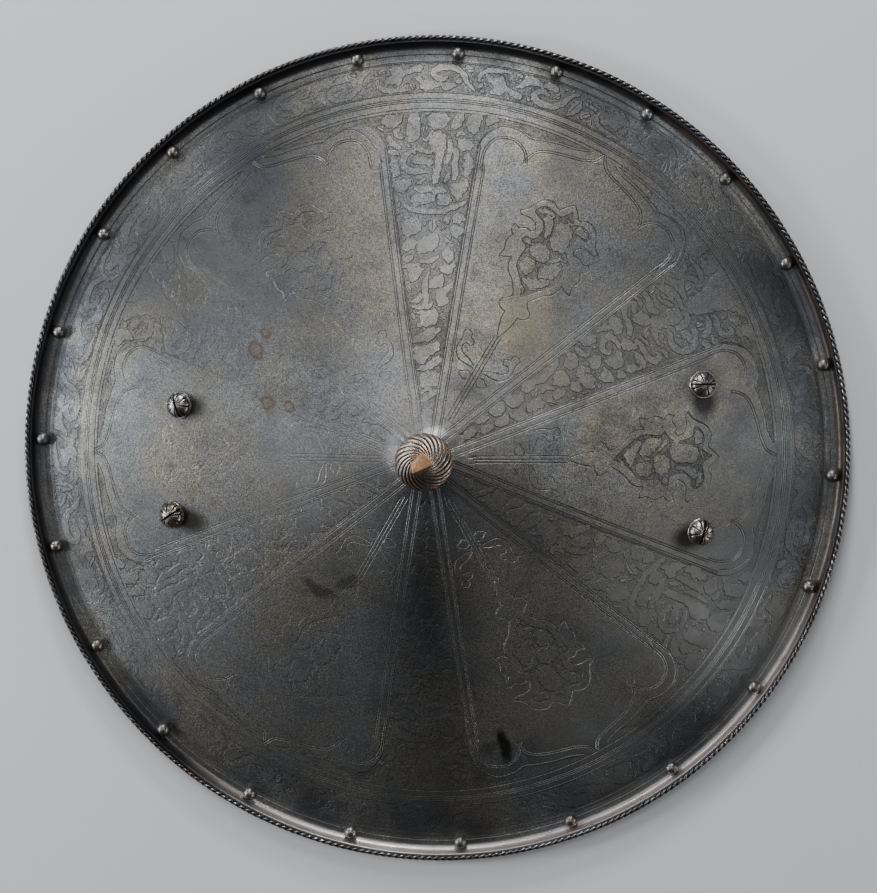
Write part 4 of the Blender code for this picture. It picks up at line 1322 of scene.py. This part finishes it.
def makeSpike():
    bm = bmesh.new()
    base = plate["valleyHeight"] + float(domeHeight(0))
    foot = spike["collarHeight"]
    tall = spike["bulbHeight"] - foot
    sides = spike["flutes"] * spike["samples"]
    shares = spike["bulbShares"]
    bmesh.ops.create_circle(bm, cap_ends=True, segments=sides, radius=spike["bulbRadius"] * shares[0][1],
                            matrix=Matrix.Translation((0, 0, base + foot)))
    ring = list(bm.edges)
    for (rise, share, _), (nextRise, nextShare, _) in zip(shares, shares[1:]):
        wall = bmesh.ops.extrude_edge_only(bm, edges=ring)["geom"]
        verts = [item for item in wall if isinstance(item, bmesh.types.BMVert)]
        chosen = set(verts)
        ring = [item for item in wall
                if isinstance(item, bmesh.types.BMEdge) and chosen.issuperset(item.verts)]
        bmesh.ops.scale(bm, verts=verts, vec=(nextShare / share, nextShare / share, 1))
        bmesh.ops.translate(bm, verts=verts, vec=(0, 0, (nextRise - rise) * tall))
    bmesh.ops.contextual_create(bm, geom=ring)
    # Each flute is a rounded ridge, and it winds more the closer it comes to the point.
    rises = [s[0] for s in shares]
    cuts = [s[2] for s in shares]
    # The flutes' hollows carry painted shade.
    hollowShade = bm.verts.layers.float.new("hollowShade")
    for vert in bm.verts:
        rise = (vert.co.z - base - foot) / tall
        reach = math.hypot(vert.co.x, vert.co.y)
        turn = math.atan2(vert.co.y, vert.co.x)
        share = reach / spike["bulbRadius"]
        side = 1 if rise > 0.46 else -1
        wind = spike["swirl"] * (1 - side * math.sqrt(max(0.0, 1 - share * share)))
        wind -= spike["twist"] * (max(share, .1) ** -spike["twistPower"] - 1) * (1 if side > 0 else -0.6)
        depth = abs((spike["flutes"] * turn / fullTurn) % 1 - .5) * 2
        sunk = 1 - math.sqrt(1 - (.98 * depth) ** 2)
        size = reach - spike["fluteDepth"] * float(np.interp(rise, rises, cuts)) * sunk
        vert.co.x, vert.co.y = size * math.cos(turn + wind), size * math.sin(turn + wind)
        vert[hollowShade] = sunk ** .7 if reach > 1e-4 else 0
    # Collar, tang and tail.
    r = spike["collarRadius"]
    profile = [(0, foot + .002), (.4 * r, foot + .002), (.45 * r, foot), (.96 * r, foot), (r, .85 * foot),
               (r, spike["seatGap"])] + tailProfile(spike, spike["tangRadius"], .4, .8)
    spin(bm, profileEdges(bm, [(a, b + base) for a, b in profile]), 40)
    # Point: a square pyramid with softened edges, rooted in the bulb.
    top = base + spike["bulbHeight"]
    rooted = .4 * spike["bulbHeight"]
    length = spike["pointLength"] + rooted
    wide = spike["pointRadius"] * length / spike["pointLength"]
    place = Matrix.Rotation(spike["pointTurn"], 4, "Z")
    place = place @ Matrix.Translation((0, 0, top - rooted + length / 2))
    cone = bmesh.ops.create_cone(bm, cap_ends=True, segments=4, radius1=wide, radius2=.0004, depth=length,
                                 matrix=place)
    verts = cone["verts"]
    for face in {f for v in verts for f in v.link_faces}:
        face.material_index = 1
    edges = list({e for v in verts for e in v.link_edges if abs(e.verts[0].co.z - e.verts[1].co.z) > .01})
    bmesh.ops.bevel(bm, geom=edges, offset=.0005, segments=2, profile=.5, affect="EDGES", material=-1)
    mergeAndFace(bm)
    mesh = smoothMesh(bm, "bulb", 30)
    topHeight = readArray(mesh.vertices, "co", 3)[:, 2].max()
    for name in ("bulb", "point"):
        mesh.materials.append(materials[name])
    return addPiece("flutedSpike", mesh, materials["bulb"], "spike_steel", "boss_spike")


rivet = {
    # Their angles stray from even ones, by the drift once round and by the sway twice round.
    "count": 23, "ring": 0.2780, "start": math.radians(24.4), "drift": math.radians(3.3),
    "driftAt": math.radians(3.4), "sway": math.radians(1.07), "swayAt": math.radians(29.5),
    "headRadius": 0.0047, "headHeight": 0.0072, "footRadius": .0034, "shankRadius": 0.0017,
    "tailRadius": 0.0036, "tailHeight": 0.0014, "seatGap": 0.0003,
    "flats": 2, "flatReach": .972, "flatShare": .8,
}


def makeRivets(rng):
    ball, tall, gap = rivet["headRadius"], rivet["headHeight"], rivet["seatGap"]
    head = [(0, tall)]
    for degrees in range(15, 121, 15):
        turn = math.radians(degrees)
        head.append((ball * math.sin(turn), max(tall - ball * (1 - math.cos(turn)), gap + .0001)))
    head.append((rivet["footRadius"], gap))
    profile = head + tailProfile(rivet, rivet["shankRadius"], .5, .8)
    for index in range(rivet["count"]):
        even = rivet["start"] + fullTurn * index / rivet["count"]
        angle = even + rivet["drift"] * math.cos(even - rivet["driftAt"])
        angle += rivet["sway"] * math.cos(2 * even - rivet["swayAt"])
        bm = bmesh.new()
        spin(bm, profileEdges(bm, profile), 20)
        mergeAndFace(bm)
        # Hand filed: each ball has flats of its own.
        flats = [Vector((rng.uniform(-1, 1), rng.uniform(-1, 1), rng.uniform(.2, 1))).normalized()
                 for _ in range(rivet["flats"])]
        centre = Vector((0, 0, tall - ball))
        for vert in bm.verts:
            if vert.co.z > gap + .0008:
                arm = vert.co - centre
                for flat in flats:
                    over = arm.dot(flat) - ball * rivet["flatReach"]
                    if over > 0:
                        arm -= flat * over * rivet["flatShare"]
                vert.co = centre + arm
        place = Matrix.Translation((rivet["ring"] * math.cos(angle), rivet["ring"] * math.sin(angle),
                                    plate["valleyHeight"]))
        place = place @ Matrix.Rotation(rng.uniform(0, fullTurn), 4, "Z")
        bmesh.ops.transform(bm, matrix=place, verts=bm.verts)
        name = f"rimRivet{index + 1:02d}"
        mesh = smoothMesh(bm, name, 50)
        addPiece(name, mesh, materials["rivet"], "fitting_steel", f"rim_rivet_{index + 1:02d}")


bolt = {
    "places": {"upper_left": (-0.1754, 0.0337, 107), "lower_left": (-0.1815, -0.0435, 34),
               "upper_right": (0.1878, 0.0502, 0), "lower_right": (0.1872, -0.0519, 76)},
    "headRadius": 0.0088, "headHeight": 0.0062, "petals": 8, "petalCut": 0.0007, "collarRadius": 0.0096,
    "collarHeight": 0.0013, "shankRadius": 0.0030, "tailRadius": 0.0058, "tailHeight": 0.0022,
    "slotWidth": 0.0015, "slotDepth": 0.0017, "seatGap": 0.0003,
}


def boltMatrix(x, y, slotTurn):
    radius = math.hypot(x, y)
    slope = float(domeSlope(radius))
    normal = Vector((-slope * x / radius, -slope * y / radius, 1)).normalized()
    turn = Vector((0, 0, 1)).rotation_difference(normal).to_matrix().to_4x4()
    place = Vector((x, y, float(domeHeight(radius)) + plate["valleyHeight"]))
    return Matrix.Translation(place) @ turn @ Matrix.Rotation(math.radians(slotTurn), 4, "Z")


def makeBolts():
    wide, gap, collar = bolt["collarRadius"], bolt["seatGap"], bolt["seatGap"] + bolt["collarHeight"]
    head, tall = bolt["headRadius"], bolt["headHeight"]
    profile = [(0, collar + tall)]
    for degrees in range(8, 90, 9):
        turn = math.radians(degrees)
        profile.append((head * math.sin(turn), collar + tall * math.cos(turn) ** .9))
    profile += [(head, collar), (.97 * wide, collar), (wide, collar - .0003), (wide, gap)]
    profile += tailProfile(bolt, bolt["shankRadius"], .6, .85)
    for name, place in bolt["places"].items():
        bm = bmesh.new()
        spin(bm, profileEdges(bm, profile), 96)
        mergeAndFace(bm)
        # The notches and the slot carry painted shade.
        hollowShade = bm.verts.layers.float.new("hollowShade")
        for vert in bm.verts:
            if vert.co.z < collar + 1e-5:
                continue
            reach = math.hypot(vert.co.x, vert.co.y)
            turn = math.atan2(vert.co.y, vert.co.x) + math.pi / bolt["petals"]
            # Eight filed notches part the petals, deepest at the edge of the head.
            near = abs((turn * bolt["petals"] / fullTurn) % 1 - .5) * 2
            notch = max(0.0, (near - .80) / .20) * min(1, reach / head * 1.4) * (reach / head > .25)
            if reach > 1e-6:
                pull = 1 - bolt["petalCut"] * notch / max(reach, .004)
                vert.co.x *= pull
                vert.co.y *= pull
                vert.co.z -= bolt["petalCut"] * notch * .8 * (vert.co.z > collar + .0005)
            vert[hollowShade] = notch
        # The slot is cut across the top: its sides are scored and what lies between them is let down.
        for side in (1, -1):
            dome = [v for v in bm.verts if v.co.z > collar + 1e-5]
            geom = dome + list({e for v in dome for e in v.link_edges})
            geom += list({f for v in dome for f in v.link_faces})
            bmesh.ops.bisect_plane(bm, geom=geom, dist=1e-7, plane_co=(0, side * bolt["slotWidth"] / 2, 0),
                                   plane_no=(0, 1, 0))
        half = bolt["slotWidth"] / 2 + 1e-6
        between = [f for f in bm.faces if f.calc_center_median().z > collar + 2e-4 and f.normal.z > 0.05
                   and all(abs(v.co.y) < half for v in f.verts)]
        floor = bmesh.ops.extrude_face_region(bm, geom=between)["geom"]
        bmesh.ops.delete(bm, geom=between, context="FACES")
        bottom = collar + tall - bolt["slotDepth"]
        for vert in floor:
            if isinstance(vert, bmesh.types.BMVert):
                vert.co.z = min(vert.co.z - 1e-4, bottom)
                vert[hollowShade] = 1.0
        bmesh.ops.recalc_face_normals(bm, faces=bm.faces)
        bmesh.ops.transform(bm, matrix=boltMatrix(*place), verts=bm.verts)
        mesh = smoothMesh(bm, "strapBolt", 38)
        addPiece("strapBolt" + name.title().replace("_", ""), mesh, materials["fitting"], "fitting_steel",
                 "strap_bolt_" + name)


plan = drawOrnament()
print("ornament drawn:", len(plan.walls), "outlines,", len(plan.lines), "lines")
makePlate(plan)
makeRope()
makeSpike()
rng = random.Random(5)
makeRivets(rng)
makeBolts()

# Floor, light and camera

studio = {
    "floorColor": (.62, .63, .65, 1),
    "worldColor": (.70, .74, .80, 1),
    "worldStrength": 0.03,
    "reach": 2.1,
    # name: (azimuth, elevation, size, power, color); azimuth 90 is the photo's top
    "lights": {
        "top": (90, 24, .36, 25, (1.0, 1.0, .99)),
        "topHigh": (90, 44, .50, 9, (1.0, .99, .97)),
        "crown": (92, 72, .60, 7, (1.0, .99, .97)),
        "upLeft": (138, 22, .50, 13, (.97, .98, 1.0)),
        "left": (180, 25, .50, 25, (.95, .98, 1.0)),
        "leftHigh": (168, 62, .60, 3, (.97, .98, 1.0)),
        "lowLeft": (-150, 20, .60, 5, (.97, .98, 1.0)),
        "right": (0, 14, .60, 9, (.90, .96, 1.0)),
        "rightHigh": (0, 60, .60, 3.5, (1.0, .98, .95)),
        "lowRight": (-35, 15, .60, 7, (.96, .98, 1.0)),
    },
}


def makeStudio():
    bm = bmesh.new()
    bmesh.ops.create_grid(bm, x_segments=1, y_segments=1, size=6)
    mesh = bpy.data.meshes.new("floor")
    bm.to_mesh(mesh)
    bm.free()
    floor = bpy.data.objects.new("floor", mesh)
    bpy.context.scene.collection.objects.link(floor)
    material = bpy.data.materials.new("paleFloor")
    material.use_nodes = True
    shader = material.node_tree.nodes["Principled BSDF"]
    shader.inputs["Base Color"].default_value = studio["floorColor"]
    shader.inputs["Roughness"].default_value = .8
    mesh.materials.append(material)
    world = bpy.data.worlds.new("studio")
    world.use_nodes = True
    world.node_tree.nodes["Background"].inputs["Color"].default_value = studio["worldColor"]
    world.node_tree.nodes["Background"].inputs["Strength"].default_value = studio["worldStrength"]
    bpy.context.scene.world = world
    for name, (azimuth, elevation, size, power, color) in studio["lights"].items():
        data = bpy.data.lights.new(name, "AREA")
        data.size = size
        data.energy, data.color = power, color
        light = bpy.data.objects.new(name, data)
        a, e = math.radians(azimuth), math.radians(elevation)
        place = Vector((math.cos(a) * math.cos(e), math.sin(a) * math.cos(e), math.sin(e))) * studio["reach"]
        light.location, light.rotation_mode = place, "QUATERNION"
        light.rotation_quaternion = (Vector((0, 0, .03)) - place).to_track_quat("-Z", "Y")
        bpy.context.scene.collection.objects.link(light)


view = {"azimuth": 46.1, "tilt": 7.31, "distance": 2.3, "aim": (.0038, .0042, .0109), "width": .6130}


def makeCamera():
    # Looks down on the shield from a little to its upper right.
    data = bpy.data.cameras.new("camera")
    camera = bpy.data.objects.new("camera", data)
    bpy.context.scene.collection.objects.link(camera)
    a, t = math.radians(view["azimuth"]), math.radians(view["tilt"])
    back = Vector((math.sin(t) * math.cos(a), math.sin(t) * math.sin(a), math.cos(t)))
    right = (-back).cross(Vector((0, 1, 0))).normalized()
    up = right.cross(-back)
    place = Matrix.Translation(Vector(view["aim"]) + back * view["distance"])
    camera.matrix_world = place @ Matrix((right, up, back)).transposed().to_4x4()
    data.sensor_fit = "HORIZONTAL"
    data.lens = data.sensor_width * view["distance"] / view["width"]
    data.clip_start, data.clip_end = .05, 50
    bpy.context.scene.camera = camera


makeStudio()
makeCamera()
